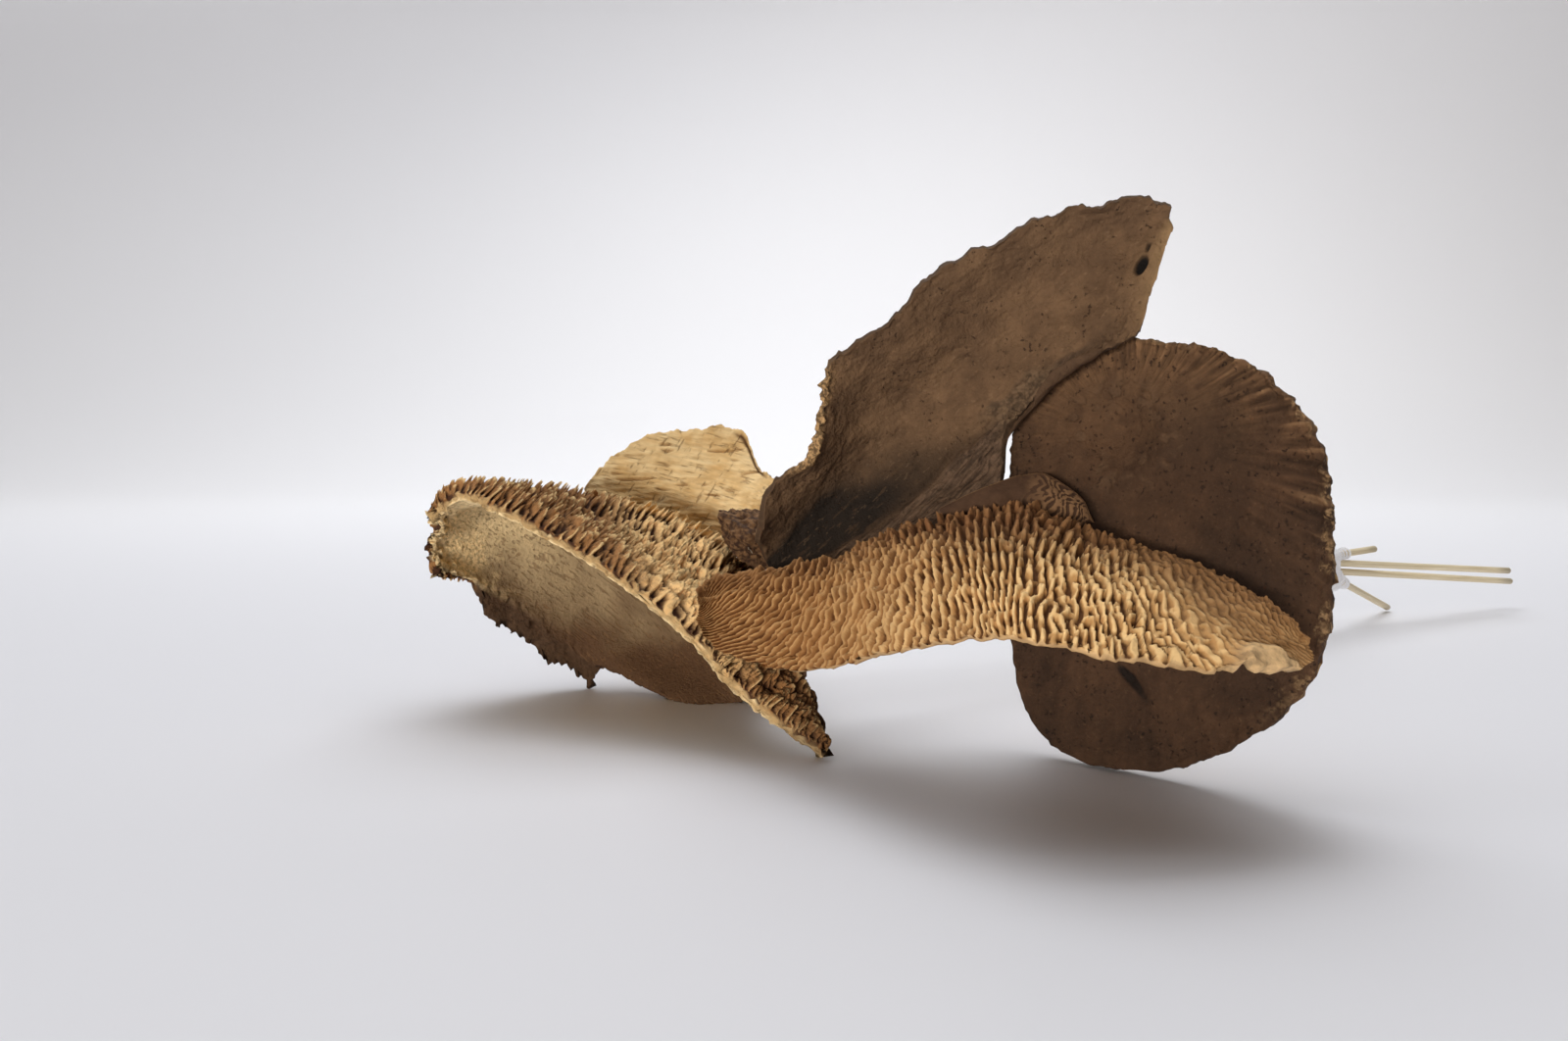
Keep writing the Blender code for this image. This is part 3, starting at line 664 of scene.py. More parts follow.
def make_round_cap():
    form = fan_form(ROUND_SPOKES, ROUND_RINGS, ROUND_BACK_RINGS)
    x, y, side = places_of(form)
    out = np.minimum(np.hypot(x, y), 1)
    bearing = np.degrees(np.arctan2(y, x)) % 360
    around = np.interp(np.arange(360.0), *np.array(ROUND_OUTLINE).T, period=360)
    around = np.mean([np.roll(around, step) for step in range(-6, 7)], axis=0)
    reach = np.interp(bearing, np.arange(360.0), around, period=360)
    flat = np.stack([x * reach, y * reach, np.zeros(len(x))], 1)
    swept = np.radians(bearing)
    rim_dir = np.stack([np.cos(swept), np.sin(swept), 0 * x], 1)
    frayed = 1 - ease(np.abs((bearing + 140) % 360 - 150), 50, 75)
    worn = ease(out, 0.88, 1.0) * (0.5 + 0.5 * frayed)
    teeth = 1.0 * lumps(flat, 3.0, 24) + 0.8 * lumps(flat + 30 * side[:, None], 1.4, 25)
    places = flat + rim_dir * (worn * (teeth - 0.9))[:, None]
    places[:, 2] = ROUND_DISH * out**2
    rim = np.clip((1 - out) / 0.25, 0, 1) ** 0.6
    thick = ROUND_RIM_THICK + (ROUND_THICK - ROUND_RIM_THICK) * rim
    from_hub = out * reach
    navel = -NAVEL_DEEP * bell(from_hub, 0.0, 6.0) + 0.8 * bell(from_hub, 9.0, 3.0)
    spread = 30 * (rim_dir + np.stack([0 * x, 0 * x, 0.12 * out], 1))
    streak = 0.5 + 0.7 * lumps(spread, 1.3, 26) + 0.6 * lumps(spread, 0.5, 27)
    streaky = ease(out, 0.35, 0.95) * (0.3 + 0.7 * ease(flat[:, 1] + 0.6 * flat[:, 0], -10.0, 25.0))
    scar_x, scar_y, _ = (flat - np.array(SCAR_AT)).T
    scar = bell(scar_x + scar_y + 0.6 * lumps(flat, 3.0, 32), 0.0, 1.3) * bell(scar_x - scar_y, 0.0, 6.5)
    widths = 2 * math.pi * ROUND_WIDE * np.linspace(0, 1, ROUND_RINGS + 1)
    gills = grow_gills(ROUND_RINGS + 1, ROUND_SPOKES, widths, GILL_SPACING * 1.2, 0.6, 31)
    column = bearing / 360 * ROUND_SPOKES + 3.5 * lumps(flat, 4.0, 28)
    ridge = plates(gills, out * ROUND_RINGS, column, 2.2)
    ridge *= 1 - 0.6 * ease(lumps(flat, 2.2, 34), 0.1, 0.35)
    pits = ease(lumps(flat, 2.0, 35), 0.05, 0.3) * bell(from_hub, 8.5, 3.2)
    near = navel + 0.95 * (streak - 0.5) * streaky - 0.4 * pits
    near += 0.6 * lumps(flat, 13.0, 2) + 0.2 * lumps(flat, 2.4, 29) - SCAR_DEEP * scar
    near += worn * (1.1 * lumps(flat, 1.3, 30) + 2.6 * np.maximum(lumps(flat, 2.6, 33) - 0.1, 0))
    far = -thick + 0.5 * lumps(flat, 6.0, 6)
    far -= HIDDEN_GILL_HIGH * (ridge - 0.5) * between(out, 0.04, 0.2, 0.97, 1.0)
    places = raised(places, np.array([UP]), near, far, side)
    tilt, _, swing = [math.radians(angle) for angle in ROUND_TURN]
    tilted = np.array([[1, 0, 0], [0, math.cos(tilt), -math.sin(tilt)], [0, math.sin(tilt), math.cos(tilt)]])
    swung = np.array([[math.cos(swing), -math.sin(swing), 0], [math.sin(swing), math.cos(swing), 0], UP])
    places = places @ (swung @ tilted).T
    marks = {
        "out": out,
        "side": side,
        "ridge": ridge,
        "streak": 0.5 + (np.clip(streak, 0, 1) - 0.5) * streaky,
        "scar": scar * (side < 0.5),
        "navel": 0.75 * pits * (side < 0.5),
        "frayed": frayed,
        "upper": 0.8 * ease(flat[:, 1] - 0.05 * flat[:, 0], -13.0, 34.0),
    }
    finish(form, places, marks, ROUND_CAP_AT, "round_cap", make_round_skin())


make_round_cap()

# Left cap
# The arched cap at the left lies on its foot and its narrow tip. Deep torn blades cover its outer side, a
# cream band of flesh runs along its near margin, and the smooth side is under the arch, darker toward the
# foot and the tip with stain and painted shade.
LEFT_CAP_AT = (-44.5, 234.0, 39.0)
LEFT_NEAR = [
    (-39, 14, 9), (-31, 10, 14), (-23, 7, 11.5), (-12.5, 3, 7), (0, -1, 0.5), (12.5, -7, -7),
    (26, -13.5, -17), (31.5, -15, -23.5), (43, -16.5, -32.5), (53, -18, -39),
]
LEFT_ROOF = [
    (-41, 18, 8.5), (-31.5, 18, 12), (-19.5, 18, 10), (-7.5, 16, 5), (7, 12, -2), (21.5, 6, -9.5),
    (35.5, 0, -16), (48, -6, -25.5),
]
LEFT_CREST = [
    (-42, 22, 5), (-34.5, 28, 9.5), (-23.5, 34, 10.5), (-12, 38, 9), (3.5, 38, 6), (19, 34, 0.5),
    (32, 26, -7.5), (43.5, 14, -13),
]
LEFT_WALL = [
    (-42.5, 23, -0.5), (-31.5, 34, -3.5), (-18, 41, -11), (-3, 44, -19.5), (15.5, 41, -25.5), (29, 33, -27),
    (42, 22, -24),
]
LEFT_FOOT = [
    (-39.5, 20, -3.5), (-32.5, 32, -9), (-20, 40, -20), (-8, 42, -30.5), (3, 37, -34.5), (14, 31, -38),
    (22.5, 27, -39.5), (33, 28, -38.5), (44.5, 24, -31),
]
LEFT_THICK = 4.6
LEFT_RIM_THICK = 1.7
LEFT_TIP_THICKER = 0.8
LEFT_RAGGED_DROP = 8.0
LEFT_LONG = 112.0
LEFT_WIDE = 90.0
LEFT_ALONG = 440
LEFT_ACROSS = 176
BLADE_HIGH = 2.9
BLADE_SPACING = 1.8
GLUE_AT = (25.3, -13.2, -20.2)
GLUE_HALF = (0.9, 3.0, 1.1)


def make_left_skin():
    skin = Skin("blade_brown")
    ridge = skin.mark("ridge")
    body = skin.shaded(paint(162, 115, 69), skin.cloudy(4.0), 0.62, 1.25)
    light = skin.shaded(paint(246, 202, 140), skin.cloudy(3.0), 0.76, 1.15)
    body = skin.mix(skin.mark("tone"), body, light)
    # Blades: darker in the pits and paler on their tops, partly their own colour, partly painted shade in the
    # pits and painted highlight on the tops.
    blades = skin.mix(skin.rise(ridge, 0.04, 0.5), paint(76, 46, 28), body)
    tops = skin.shaded(paint(236, 200, 142), skin.cloudy(3.0), 0.8, 1.1)
    blades = skin.mix(skin.rise(ridge, 0.72, 1.0), blades, tops)
    ticks = skin.rise(skin.cloudy(0.7, 3.0, (1, 1, 9), slanted(-50)), 0.56, 0.63)
    # The smooth side darkens toward the foot and the tip: partly stain, partly painted shade under the arch.
    smooth = skin.mix(skin.mark("underside_shade_and_stain"), paint(255, 228, 176), paint(94, 68, 47))
    smooth = skin.shaded(smooth, skin.cloudy(1.1, 6.0, (1, 1, 8), slanted(-50)), 0.72, 1.32)
    smooth = skin.shaded(smooth, skin.cloudy(0.8, 4.0), 0.8, 1.15)
    smooth = skin.mix(ticks * 0.5, smooth, paint(124, 92, 62))
    crumbs = skin.shaded(paint(240, 210, 158), skin.rise(skin.cloudy(0.9, 4.0), 0.34, 0.6), 0.55, 1.1)
    smooth = skin.mix(skin.mark("crumbly"), smooth, crumbs)
    colour = skin.mix(skin.rise(skin.mark("side"), 0.45, 0.75), smooth, blades)
    flesh = skin.shaded(paint(206, 170, 118), skin.cloudy(1.1, 5.0), 0.45, 1.35)
    colour = skin.mix(skin.mark("flesh"), colour, flesh)
    # The ragged flap is darker brown with painted shade, and the tip is darker.
    flap_shade_and_dark_tip = skin.shaded(paint(82, 60, 42), skin.cloudy(1.2, 4.0), 0.4, 1.6)
    colour = skin.mix(skin.mark("flap_shade_and_dark_tip"), colour, flap_shade_and_dark_tip)
    glue = skin.mark("glue")
    dried_glue = skin.mix(skin.rise(skin.cloudy(0.7), 0.5, 0.6), paint(34, 28, 24), paint(200, 190, 176))
    colour = skin.mix(glue, colour, dried_glue)
    return skin.coat(colour, 0.88 - 0.6 * glue, skin.cloudy(0.8, 9.0) - 0.4 * ticks, 0.5)


def make_left_cap():
    form = sheet_form(LEFT_ALONG // 4, LEFT_ACROSS // 4, 1, 3)
    curves = [LEFT_NEAR, LEFT_ROOF, LEFT_CREST, LEFT_WALL, LEFT_FOOT]
    u, v, side, base, normal = laid(form, curves, UP)
    inner = near_edge(v, 0.1, 0.25) * near_edge(u, 0.06, 0.1)
    rim_thick = LEFT_RIM_THICK + LEFT_TIP_THICKER * ease(u, 0.62, 0.75)
    thick = rim_thick + (LEFT_THICK - rim_thick) * inner
    widths = np.full(LEFT_ACROSS + 1, LEFT_LONG)
    blades = grow_gills(LEFT_ACROSS + 1, LEFT_ALONG, widths, BLADE_SPACING, 0.7, 41)
    column = (u + 0.5 * np.maximum(u - 0.66, 0)) * LEFT_ALONG + 25 * v
    column = column + 6.0 * lumps(base, 7.0, 42) + 3.0 * lumps(base, 2.4, 40)
    ridge = plates(blades, v * LEFT_ACROSS, column, 2.6, -0.9)
    flat = np.stack([u * LEFT_LONG, v * LEFT_WIDE, 0 * u], 1)
    torn = 0.75 + 1.0 * lumps(flat * (1, 0.35, 1), 1.3, 43) + 0.8 * lumps(flat * (1, 0.6, 1), 0.8, 44)
    torn = np.clip(torn, 0.05, 1.2) * (1 - 0.6 * ease(lumps(flat * (1, 0.5, 1), 2.4, 52), 0.2, 0.45))
    tall = BLADE_HIGH * ease(v, 0.0, 0.02) * near_edge(u, 0.03, 0.05) * (1 - 0.5 * ease(v, 0.92, 1.0))
    blade = tall * ridge * torn
    far = thick + blade - 0.35 * tall + 0.4 * lumps(base, 4.0, 12)
    crumbly = 1 - ease(u + 0.06 * lumps(base, 6.0, 50) + 0.03 * lumps(base, 2.0, 57), 0.045, 0.11)
    near = 0.4 * lumps(base, 12.0, 7) + 0.12 * lumps(base, 2.5, 45)
    near += crumbly * (1.6 * lumps(base, 1.8, 51) + 1.2 * lumps(base, 4.0, 58))
    places = raised(base, normal, near, far, side)
    places[:, 0] += 0.6 * blade * side
    ragged = np.clip((v - 0.8) / 0.2, 0, 1) * np.clip((u - 0.1) / 0.03, 0, 1)
    ragged *= np.clip((0.41 - u) / 0.04, 0, 1)
    drop = LEFT_RAGGED_DROP * ragged * (0.95 + 0.45 * lumps(base, 7.0, 15) + 0.14 * lumps(base, 2.0, 46))
    places[:, 2] -= drop * side
    at_end = (1 - ease(u, 0.0, 0.05)) + ease(u, 0.97, 1.0)
    frayed = np.clip(at_end + 0.35 * ragged + 0.6 * ease(v, 0.95, 1.0), 0, 1)
    fray = np.stack([lumps(places + 20 * side[:, None], 1.6, seed) for seed in (47, 48, 49)], 1)
    places += (1.3 * frayed + 1.2 * at_end)[:, None] * fray
    places[:, 0] += 3.0 * bell(v, 0.4, 0.1) * (1 - ease(u, 0.0, 0.05))
    band = 1 - ease(v + 0.008 * lumps(base, 2.0, 60), 0.0, 0.024)
    shreds = np.stack([lumps(places, 2.2, seed) + 0.7 * lumps(places, 0.9, seed) for seed in (53, 54, 55)], 1)
    places += (band * (0.4 + 0.6 * np.sin(math.pi * side)))[:, None] * 1.25 * shreds
    places[:, 2] = np.maximum(places[:, 2], -LEFT_CAP_AT[2])
    cream = band * ease(side + 0.5 * shreds[:, 0], 0.0, 0.25)
    cream *= 1 - ease(side + 0.6 * shreds[:, 1], 0.6, 1.0)
    # Painted shade with darker brown on the ragged flap, and a darker tip.
    dark = np.clip(ragged * 3, 0, 1) * ease(side, 0.02, 0.2) + 0.45 * ease(u, 0.86, 0.95)
    marks = {
        "ridge": ridge * np.clip(torn, 0, 1),
        "side": side,
        "underside_shade_and_stain": ease(v + 0.5 * u + 0.1 * lumps(base, 8.0, 61), 0.38, 1.18),
        "tone": between(u, 0.48, 0.62, 0.74, 0.84),
        "crumbly": 0.85 * (1 - ease(u + 0.08 * lumps(base, 3.0, 62), 0.07, 0.2)),
        "flesh": np.clip(cream, 0, 1),
        "flap_shade_and_dark_tip": np.clip(dark, 0, 1),
        "glue": 1 - ease(far_from(base, GLUE_AT, GLUE_HALF), 0.7, 1.2),
    }
    finish(form, places, marks, LEFT_CAP_AT, "left_cap", make_left_skin())


make_left_cap()

# Back cap
# The pale cap behind is woody and dry: a smooth yellow face with fine cracks along its grain, split along its
# upper edge where a layer has curled off. Its hidden side carries short gills.
BACK_CAP_AT = (-21.0, 277.5, 43.0)
BACK_BASE = [(-30, 4, 0), (-19, 6, -3), (-5.5, 6, -5.5), (8, -1, -6), (15.5, -14, -3)]
BACK_MIDDLE = [(-31.5, 5, 7.5), (-22.5, 10, 10), (-6.5, 12, 11.5), (8, 7, 10), (18.5, -9, 7)]
BACK_TOP = [
    (-33, 6, 11), (-28.5, 12, 18), (-18.5, 17, 25), (-3, 20, 27.5), (9, 20, 26.5), (14, 10, 16.5),
    (19.5, -3, 13),
]
BACK_THICK = 3.4
BACK_RIM_THICK = 1.6
BACK_LONG = 52.0
BACK_ALONG = 170
BACK_ACROSS = 40
BACK_ROWS = 60


def make_back_skin():
    skin = Skin("woody_yellow")
    grain = skin.cloudy(0.8, 4.0, (6, 6, 1), slanted(14))
    colour = skin.mix(skin.rise(skin.cloudy(7.0), 0.3, 0.7), paint(214, 176, 118), paint(234, 204, 152))
    colour = skin.shaded(colour, grain, 0.66, 1.16)
    ticks = skin.rise(skin.cloudy(0.6, 5.0, (9, 9, 1), slanted(14)), 0.55, 0.66)
    ticks = ticks * skin.rise(skin.cloudy(5.0), 0.42, 0.6)
    steep = skin.rise(skin.cloudy(0.6, 5.0, (9, 9, 1), slanted(-58)), 0.57, 0.66)
    ticks = ticks + steep * skin.rise(skin.cloudy(4.0), 0.45, 0.6)
    colour = skin.mix(ticks * 0.5, colour, paint(142, 102, 60))
    colour = skin.mix(skin.mark("crack") * 0.6, colour, paint(150, 110, 64))
    colour = skin.mix(skin.mark("split"), colour, paint(92, 60, 34))
    back = gilled(skin, paint(122, 84, 50), paint(212, 172, 118))
    back = skin.shaded(back, skin.cloudy(8.0, 4.0), 0.7, 1.15)
    colour = skin.mix(skin.rise(skin.mark("side"), 0.4, 0.6), colour, back)
    return skin.coat(colour, 0.8, grain - ticks, 0.3)


def make_back_cap():
    form = sheet_form(BACK_ALONG // 2, BACK_ACROSS, 2, 1)
    u, v, side, base, normal = laid(form, [BACK_BASE, BACK_MIDDLE, BACK_TOP], FRONTWARD)
    inner = near_edge(v, 0.0, 0.3) * near_edge(u, 0.15, 0.15)
    thick = BACK_RIM_THICK + (BACK_THICK - BACK_RIM_THICK) * inner
    grain = lumps(base * np.array([0.15, 0.15, 1.0]), 1.1, 51)
    crack = ease(lumps(base * np.array([0.12, 0.12, 1.0]), 1.3, 56), 0.3, 0.42)
    crack *= ease(lumps(base, 6.0, 57), 0.0, 0.2)
    near = 0.6 * lumps(base, 8.0, 21) + 0.35 * grain + 0.25 * lumps(base, 2.0, 52) - 0.5 * crack
    widths = np.full(BACK_ROWS + 1, BACK_LONG)
    gills = grow_gills(BACK_ROWS + 1, BACK_ALONG, widths, BLADE_SPACING, 0.4, 71)
    ridge = plates(gills, v * BACK_ROWS, u * (BACK_ALONG - 1) + 1.5 * lumps(base, 8.0, 72), 2.2)
    far = -thick + 0.3 * lumps(base, 3.0, 53) - HIDDEN_GILL_HIGH * (ridge - 0.5) * near_edge(u, 0.08, 0.08)
    places = raised(base, normal, near, far, side)
    edge = ease(v, 0.93, 1.0)
    places[:, 2] += edge * (0.9 * lumps(base, 2.5, 54) + 0.5 * lumps(base, 1.0, 55))
    split = bell(v, 0.955, 0.02) * between(u, 0.62, 0.68, 0.86, 0.92)
    places[:, 1] += 1.2 * split * (1 - side)
    marks = {
        "side": side,
        "ridge": ridge,
        "crack": crack * (1 - side),
        "split": np.clip(split + 0.7 * between(side, 0.2, 0.5, 0.8, 1.0), 0, 1),
    }
    finish(form, places, marks, BACK_CAP_AT, "back_cap", make_back_skin())


make_back_cap()

# Small cap
# The small lobe behind the top of the fan is a young cap: a thin skin with a fine light rim over dark pores.
# Its base is hidden behind the fan.
SMALL_CAP_AT = (52.0, 213.0, 51.5)
SMALL_BASE = [(-19.5, 0, -1.5), (-9.5, -1.5, -1), (-3.5, -1.5, -0.5), (3.5, -2, -1.5), (8, -3, -3.5)]
SMALL_RIM = [
    (-20, 1, 1.5), (-14, 1, 4.5), (-9, 1.5, 6.5), (-3.5, 3, 8.2), (2, 3, 8.5), (6.5, 2, 6), (9.5, 0, 3),
    (10, -3, -0.5),
]
SMALL_THICK = 1.6
SMALL_LONG = 28.0
SMALL_ALONG = 120
SMALL_ROWS = 50
PORE_SPACING = 1.3


def make_small_skin():
    skin = Skin("lobe_brown")
    # Pores: darker in the pits and paler on their walls, partly their own colour, partly painted shade in the
    # pits.
    pores = gilled(skin, paint(74, 52, 37), paint(132, 99, 69), 0.3, 0.9)
    smooth = skin.shaded(paint(84, 60, 43), skin.cloudy(1.6, 6.0), 0.6, 1.35)
    colour = skin.mix(skin.mark("pored"), smooth, pores)
    colour = skin.mix(skin.mark("flesh") * 0.7, colour, paint(160, 122, 84))
    return skin.coat(colour, 0.85, skin.cloudy(0.5, 4.0), 0.12)


def make_small_cap():
    form = sheet_form(SMALL_ALONG // 2, SMALL_ROWS // 2, 1, 0)
    u, v, side, base, normal = laid(form, [SMALL_BASE, SMALL_RIM], FRONTWARD)
    widths = np.full(SMALL_ROWS + 1, SMALL_LONG)
    gills = grow_gills(SMALL_ROWS + 1, SMALL_ALONG, widths, PORE_SPACING, 0.15, 61)
    ridge = plates(gills, v * SMALL_ROWS, u * (SMALL_ALONG - 1) + 6 * lumps(base, 3.0, 62), 2)
    ridge = np.maximum(ridge, 0.9 * ease(lumps(base, 1.3, 63), 0.15, 0.4))
    pored = ease(u + 0.1 * lumps(base, 3.0, 64), 0.4, 0.7) * (1 - ease(v, 0.93, 0.98))
    bulge = 1.6 * np.sin(math.pi * v) + 0.3 * lumps(base, 3.0, 31)
    places = raised(base, normal, bulge + 0.45 * (ridge - 0.5) * pored, bulge - SMALL_THICK, side)
    marks = {"ridge": ridge, "pored": pored, "flesh": ease(v, 0.97, 1.0)}
    finish(form, places, marks, SMALL_CAP_AT, "small_cap", make_small_skin())


make_small_cap()

# Bark stub
# The lump between the caps is what is left of the bark they grew on: brown, crumbly and pitted, with a few
# loose grey fibres that were torn out of it.
BARK_AT = (-7.0, 251.0, 43.5)
BARK_HALF = (9.0, 9.5, 6.5)
BARK_FIBRES = 16
BARK_FIBRE_POINTS = 14
BARK_FIBRE_THICK = 0.25


def add_strands(form, lines, thick):
    """Add round strands through lines of points to a form."""
    curve = bpy.data.curves.new("strands", "CURVE")
    curve.dimensions = "3D"
    curve.bevel_depth = thick / 2
    curve.bevel_resolution = 1
    curve.use_fill_caps = True
    for line in lines:
        spline = curve.splines.new("POLY")
        spline.points.add(len(line) - 1)
        spline.points.foreach_set("co", np.hstack([line, np.ones((len(line), 1))]).ravel())
    drawn = bpy.data.objects.new("strands", curve)
    form.from_mesh(bpy.data.meshes.new_from_object(drawn))
    bpy.data.objects.remove(drawn)


def make_bark():
    form = bmesh.new()
    bmesh.ops.create_icosphere(form, subdivisions=6, radius=1.0)
    ball = places_of(form).T
    out = 1.0 + 0.24 * lumps(ball, 0.6, 41) + 0.14 * lumps(ball, 0.22, 71) + 0.06 * lumps(ball, 0.08, 72)
    lump = ball * out[:, None] * np.array(BARK_HALF) * 0.95
    lump[:, 2] -= 0.35 * lump[:, 0]
    chance = np.random.default_rng(73)
    lines = []
    for _ in range(BARK_FIBRES):
        start = lump[chance.integers(len(lump))]
        steps = chance.normal((0.25, -0.1, -0.25), 0.22, (BARK_FIBRE_POINTS, 3))
        lines.append(start * 0.9 + np.cumsum(steps, axis=0) * 0.7)
    add_strands(form, lines, BARK_FIBRE_THICK)
    places = places_of(form).T
    places[: len(lump)] = lump
    skin = Skin("bark_dark")
    colour = skin.mix(skin.rise(skin.cloudy(1.4, 4.0), 0.35, 0.7), paint(62, 42, 30), paint(128, 96, 66))
    colour = skin.mix(skin.mark("fibre"), colour, paint(150, 136, 120))
    skin.coat(colour, 0.9, skin.cloudy(0.6, 5.0), 0.3)
    marks = {"fibre": (np.arange(len(places)) >= len(lump)).astype(float)}
    finish(form, places, marks, BARK_AT, "bark_stub", skin)


make_bark()

# Bamboo sticks
# Four thin round skewers of split bamboo start behind the caps and cross at the tie, two of them longer.
# They are planed, so that fine straight fibres show along them.
STICK_THICK = 2.5
STICK_SIDES = 40
TIE_AT = Vector((195.5, 364.5, 22.1))
STICKS = {
    "long_stick_1": ((-8, 280, 41), 24.0, 91.0),
    "long_stick_2": ((-1, 260.5, 42), 21.0, 109.0),
    "short_stick_1": ((59, 228, 71), 17.9, 61.5),
    "short_stick_2": ((3.4, 231.5, 22.5), 27.1, 24.0),
}


def make_bamboo_skin():
    skin = Skin("bamboo")
    fibre = skin.mark("fibre")
    colour = skin.mix(fibre, paint(204, 184, 146), paint(238, 226, 198))
    colour = skin.shaded(colour, skin.cloudy(12.0), 0.9, 1.06)
    return skin.coat(colour, 0.55, fibre, 0.08)


def make_stick(name, skin):
    """Make one stick from its start, its height at the tie, and how far it goes on past the tie."""
    start, height, past = STICKS[name]
    crossing = Vector((TIE_AT.x, TIE_AT.y, height))
    run = (crossing - Vector(start)).normalized()
    end = crossing + run * past
    long = (end - Vector(start)).length
    form = bmesh.new()
    bmesh.ops.create_cone(form, cap_ends=True, segments=STICK_SIDES, radius1=1, radius2=1, depth=1)
    bmesh.ops.subdivide_edges(form, edges=rungs_of(form), cuts=30, use_grid_fill=True)
    x, y, z = places_of(form)
    around = np.stack([x, y, 0.02 * z * long], 1)
    fibre = 0.5 + 0.5 * np.clip(1.6 * lumps(around * 5, 0.6, 81 + len(name)), -1, 1)
    wide = STICK_THICK / 2 * (0.97 - 0.03 * fibre)
    turn = np.array(run.to_track_quat("Z", "Y").to_matrix())
    places = np.stack([x * wide, y * wide, z * (long - 0.2)], 1) @ turn.T
    places += np.array((Vector(start) + end) / 2)
    finish(form, places, {"fibre": fibre}, (0, 0, 0), name, skin)


BAMBOO = make_bamboo_skin()
for stick in STICKS:
    make_stick(stick, BAMBOO)

# Thread tie
# White cotton thread of two plies is wound four times round the sticks where they cross. It then runs on as a
# loose whipping along the two short sticks, which keeps them from slipping.
TIE_HALF_WIDE = 3.7
TIE_HALF_HIGH = 7.2
TIE_TURNS = 4
TIE_PITCH = 1.15
TIE_TURN = -56.0
TIE_BACK = 8.0
THREAD_THICK = 0.8
PLY_PITCH = 1.8
WHIPPING_PITCH = 2.1
WHIPPINGS = {"short_stick_1": 6.5, "short_stick_2": 5.0}


def winding(steps):
    """Return points along the winding round all the sticks, an upright coil with round corners."""
    angle = np.linspace(0, 2 * math.pi * TIE_TURNS, steps)
    wide = np.sign(np.cos(angle)) * np.sqrt(np.abs(np.cos(angle))) * TIE_HALF_WIDE
    high = np.sign(np.sin(angle)) * np.sqrt(np.abs(np.sin(angle))) * TIE_HALF_HIGH
    turn = math.radians(TIE_TURN)
    along = (np.linspace(0, 1, steps) - 0.5) * TIE_TURNS * TIE_PITCH - TIE_BACK
    x = wide * math.cos(turn) - along * math.sin(turn)
    y = wide * math.sin(turn) + along * math.cos(turn)
    return np.stack([x, y, high], 1)


def whipping(stick, reach, steps):
    """Return points along the thread that goes on round one short stick, measured from the tie."""
    start, height = STICKS[stick][:2]
    middle = Vector((0, 0, height - TIE_AT.z))
    run = (TIE_AT + middle - Vector(start)).normalized()
    turn = np.array(run.to_track_quat("Z", "Y").to_matrix())
    share = np.linspace(0, 1, steps)
    angle = share * 2 * math.pi * (reach + TIE_BACK) / WHIPPING_PITCH
    out = STICK_THICK / 2 + 0.45 + 1.6 * (1 - share) ** 4 + 0.35 * np.sin(share * 17.0) ** 2
    coil = np.stack([np.cos(angle) * out, np.sin(angle) * out, share * (reach + TIE_BACK) - TIE_BACK], 1)
    return coil @ turn.T + np.array(middle)


def plied(path):
    """Return the lines of two plies twisted round each other along a path."""
    travel = np.concatenate([[0], np.cumsum(np.linalg.norm(np.diff(path, axis=0), axis=1))])
    ahead = np.gradient(path, axis=0)
    ahead /= np.linalg.norm(ahead, axis=1, keepdims=True)
    across = np.cross(ahead, (0.3, 0.9, 0.2))
    across /= np.linalg.norm(across, axis=1, keepdims=True)
    beside = np.cross(ahead, across)
    lines = []
    for ply in (0.0, math.pi):
        twist = travel * 2 * math.pi / PLY_PITCH + ply
        off = np.cos(twist)[:, None] * across + np.sin(twist)[:, None] * beside
        lines.append(path + THREAD_THICK * 0.2 * off)
    return lines


def make_thread():
    form = bmesh.new()
    paths = [winding(1200)] + [whipping(stick, reach, 500) for stick, reach in WHIPPINGS.items()]
    for path in paths:
        add_strands(form, plied(path), THREAD_THICK * 0.54)
    skin = Skin("white_thread")
    colour = skin.shaded(paint(244, 245, 250), skin.cloudy(0.5), 0.88, 1.0)
    skin.coat(colour, 0.8, skin.cloudy(0.12), 0.05)
    finish(form, places_of(form).T, {}, tuple(TIE_AT), "thread_tie", skin)


make_thread()

# Studio
# The bunch stands on a pale seamless sweep. A wide soft light hangs above and behind it, one lights the
# sweep, and a low one fills the side that faces the camera. Sweep and lights are given in metres.
CAMERA_HIGH = 66.81
CAMERA_DOWN = 4.3575
LENS = 23.92
SWEEP_WIDE = 7.0
SWEEP_LONG = 4.2
SWEEP_FRONT = -1.8
SWEEP_FLAT = 0.9
SWEEP_BEND = 0.7


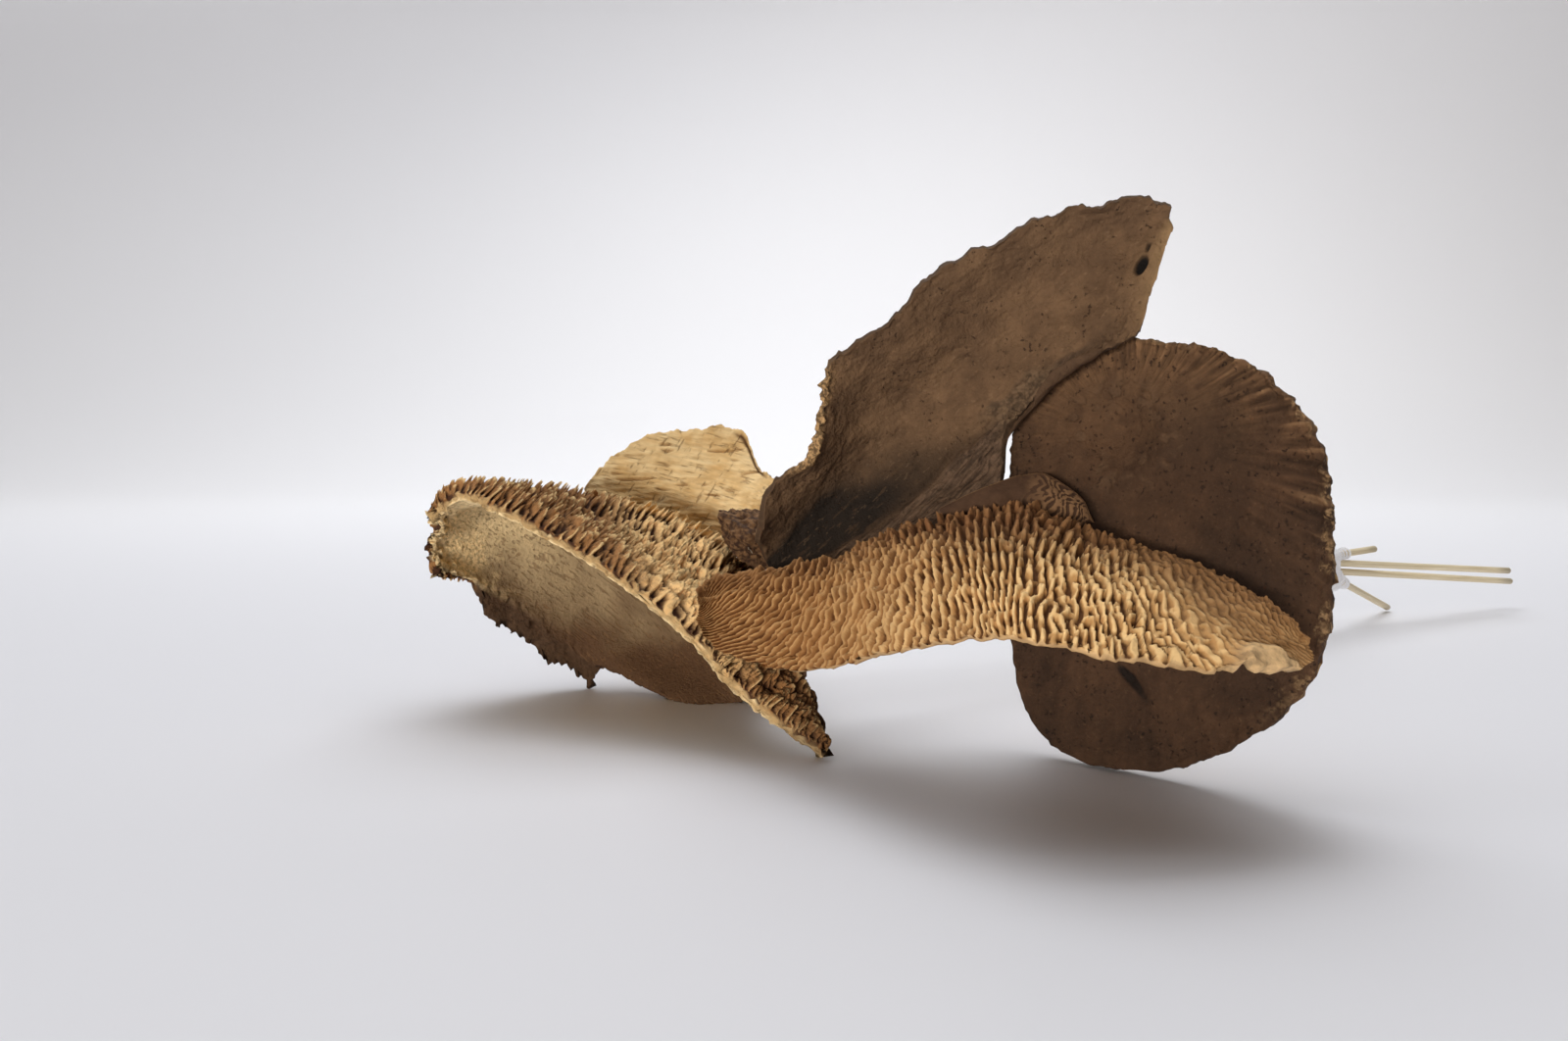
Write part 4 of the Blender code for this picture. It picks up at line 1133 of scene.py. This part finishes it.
def make_floor():
    form = bmesh.new()
    bmesh.ops.create_grid(form, x_segments=2, y_segments=80, size=0.5)
    for vert in form.verts:
        along = (vert.co.y + 0.5) * SWEEP_LONG + SWEEP_FRONT
        bend = min(max((along - SWEEP_FLAT) / SWEEP_BEND, 0), math.pi / 2)
        past = max(along - SWEEP_FLAT - SWEEP_BEND * math.pi / 2, 0)
        back = min(along, SWEEP_FLAT) + SWEEP_BEND * math.sin(bend)
        high = SWEEP_BEND * (1 - math.cos(bend)) + past
        vert.co = (vert.co.x * SWEEP_WIDE, back, high)
    skin = Skin("pale_sweep")
    away = skin.node("ShaderNodeSeparateXYZ", {}, {"Vector": skin.place}, "Y")
    # Painted light: the sweep's paint is brighter toward the camera and toward the bend than under the bunch.
    near = skin.mix(skin.rise(away, -0.5, -0.1), paint(252, 252, 255), paint(226, 226, 231))
    paper_and_painted_light = skin.mix(skin.rise(away, 0.0, 1.0), near, paint(250, 250, 253))
    skin.plug(skin.shader.inputs["Base Color"], paper_and_painted_light)
    skin.plug(skin.shader.inputs["Roughness"], 0.55)
    as_object(form, "sweep", "sweep", skin)


def make_light(name, at, aim, size, power, colour, spread=180):
    lamp = bpy.data.lights.new(name, "AREA")
    lamp.spread = math.radians(spread)
    lamp.shape = "RECTANGLE"
    lamp.size, lamp.size_y = size
    lamp.energy = power
    lamp.color = colour
    made = bpy.data.objects.new(name, lamp)
    made.location = at
    made.rotation_euler = (Vector(aim) - Vector(at)).to_track_quat("-Z", "Y").to_euler()
    bpy.context.scene.collection.objects.link(made)


make_floor()
make_light("overhead", (-0.1, 0.5, 1.3), (0, 0, 0), (1.15, 1.15), 13.2, (0.95, 0.98, 1.0))
make_light("backdrop_light", (-0.7, 0.2, 2.6), (-0.5, 1.7, 1.2), (5.5, 2.0), 50.0, (0.97, 0.98, 1.0))
make_light("front_fill", (-0.8, -1.5, 0.08), (0, 0, 0.06), (0.7, 0.12), 1.5, (1.0, 0.94, 0.86), 50)
room = bpy.data.worlds.new("room")
room.use_nodes = True
room.node_tree.nodes["Background"].inputs["Color"].default_value = (1.0, 0.84, 0.69, 1.0)
room.node_tree.nodes["Background"].inputs["Strength"].default_value = 0.1
bpy.context.scene.world = room
bpy.context.scene.view_settings.view_transform = "Standard"

lens = bpy.data.cameras.new("camera")
lens.sensor_width = 36.0
lens.lens = LENS
lens.clip_start = 0.01
camera = bpy.data.objects.new("camera", lens)
camera.location = (-CENTRE[0] * MM, -CENTRE[1] * MM, CAMERA_HIGH * MM)
camera.rotation_euler = (math.radians(90 - CAMERA_DOWN), 0, 0)
bpy.context.scene.collection.objects.link(camera)
bpy.context.scene.camera = camera
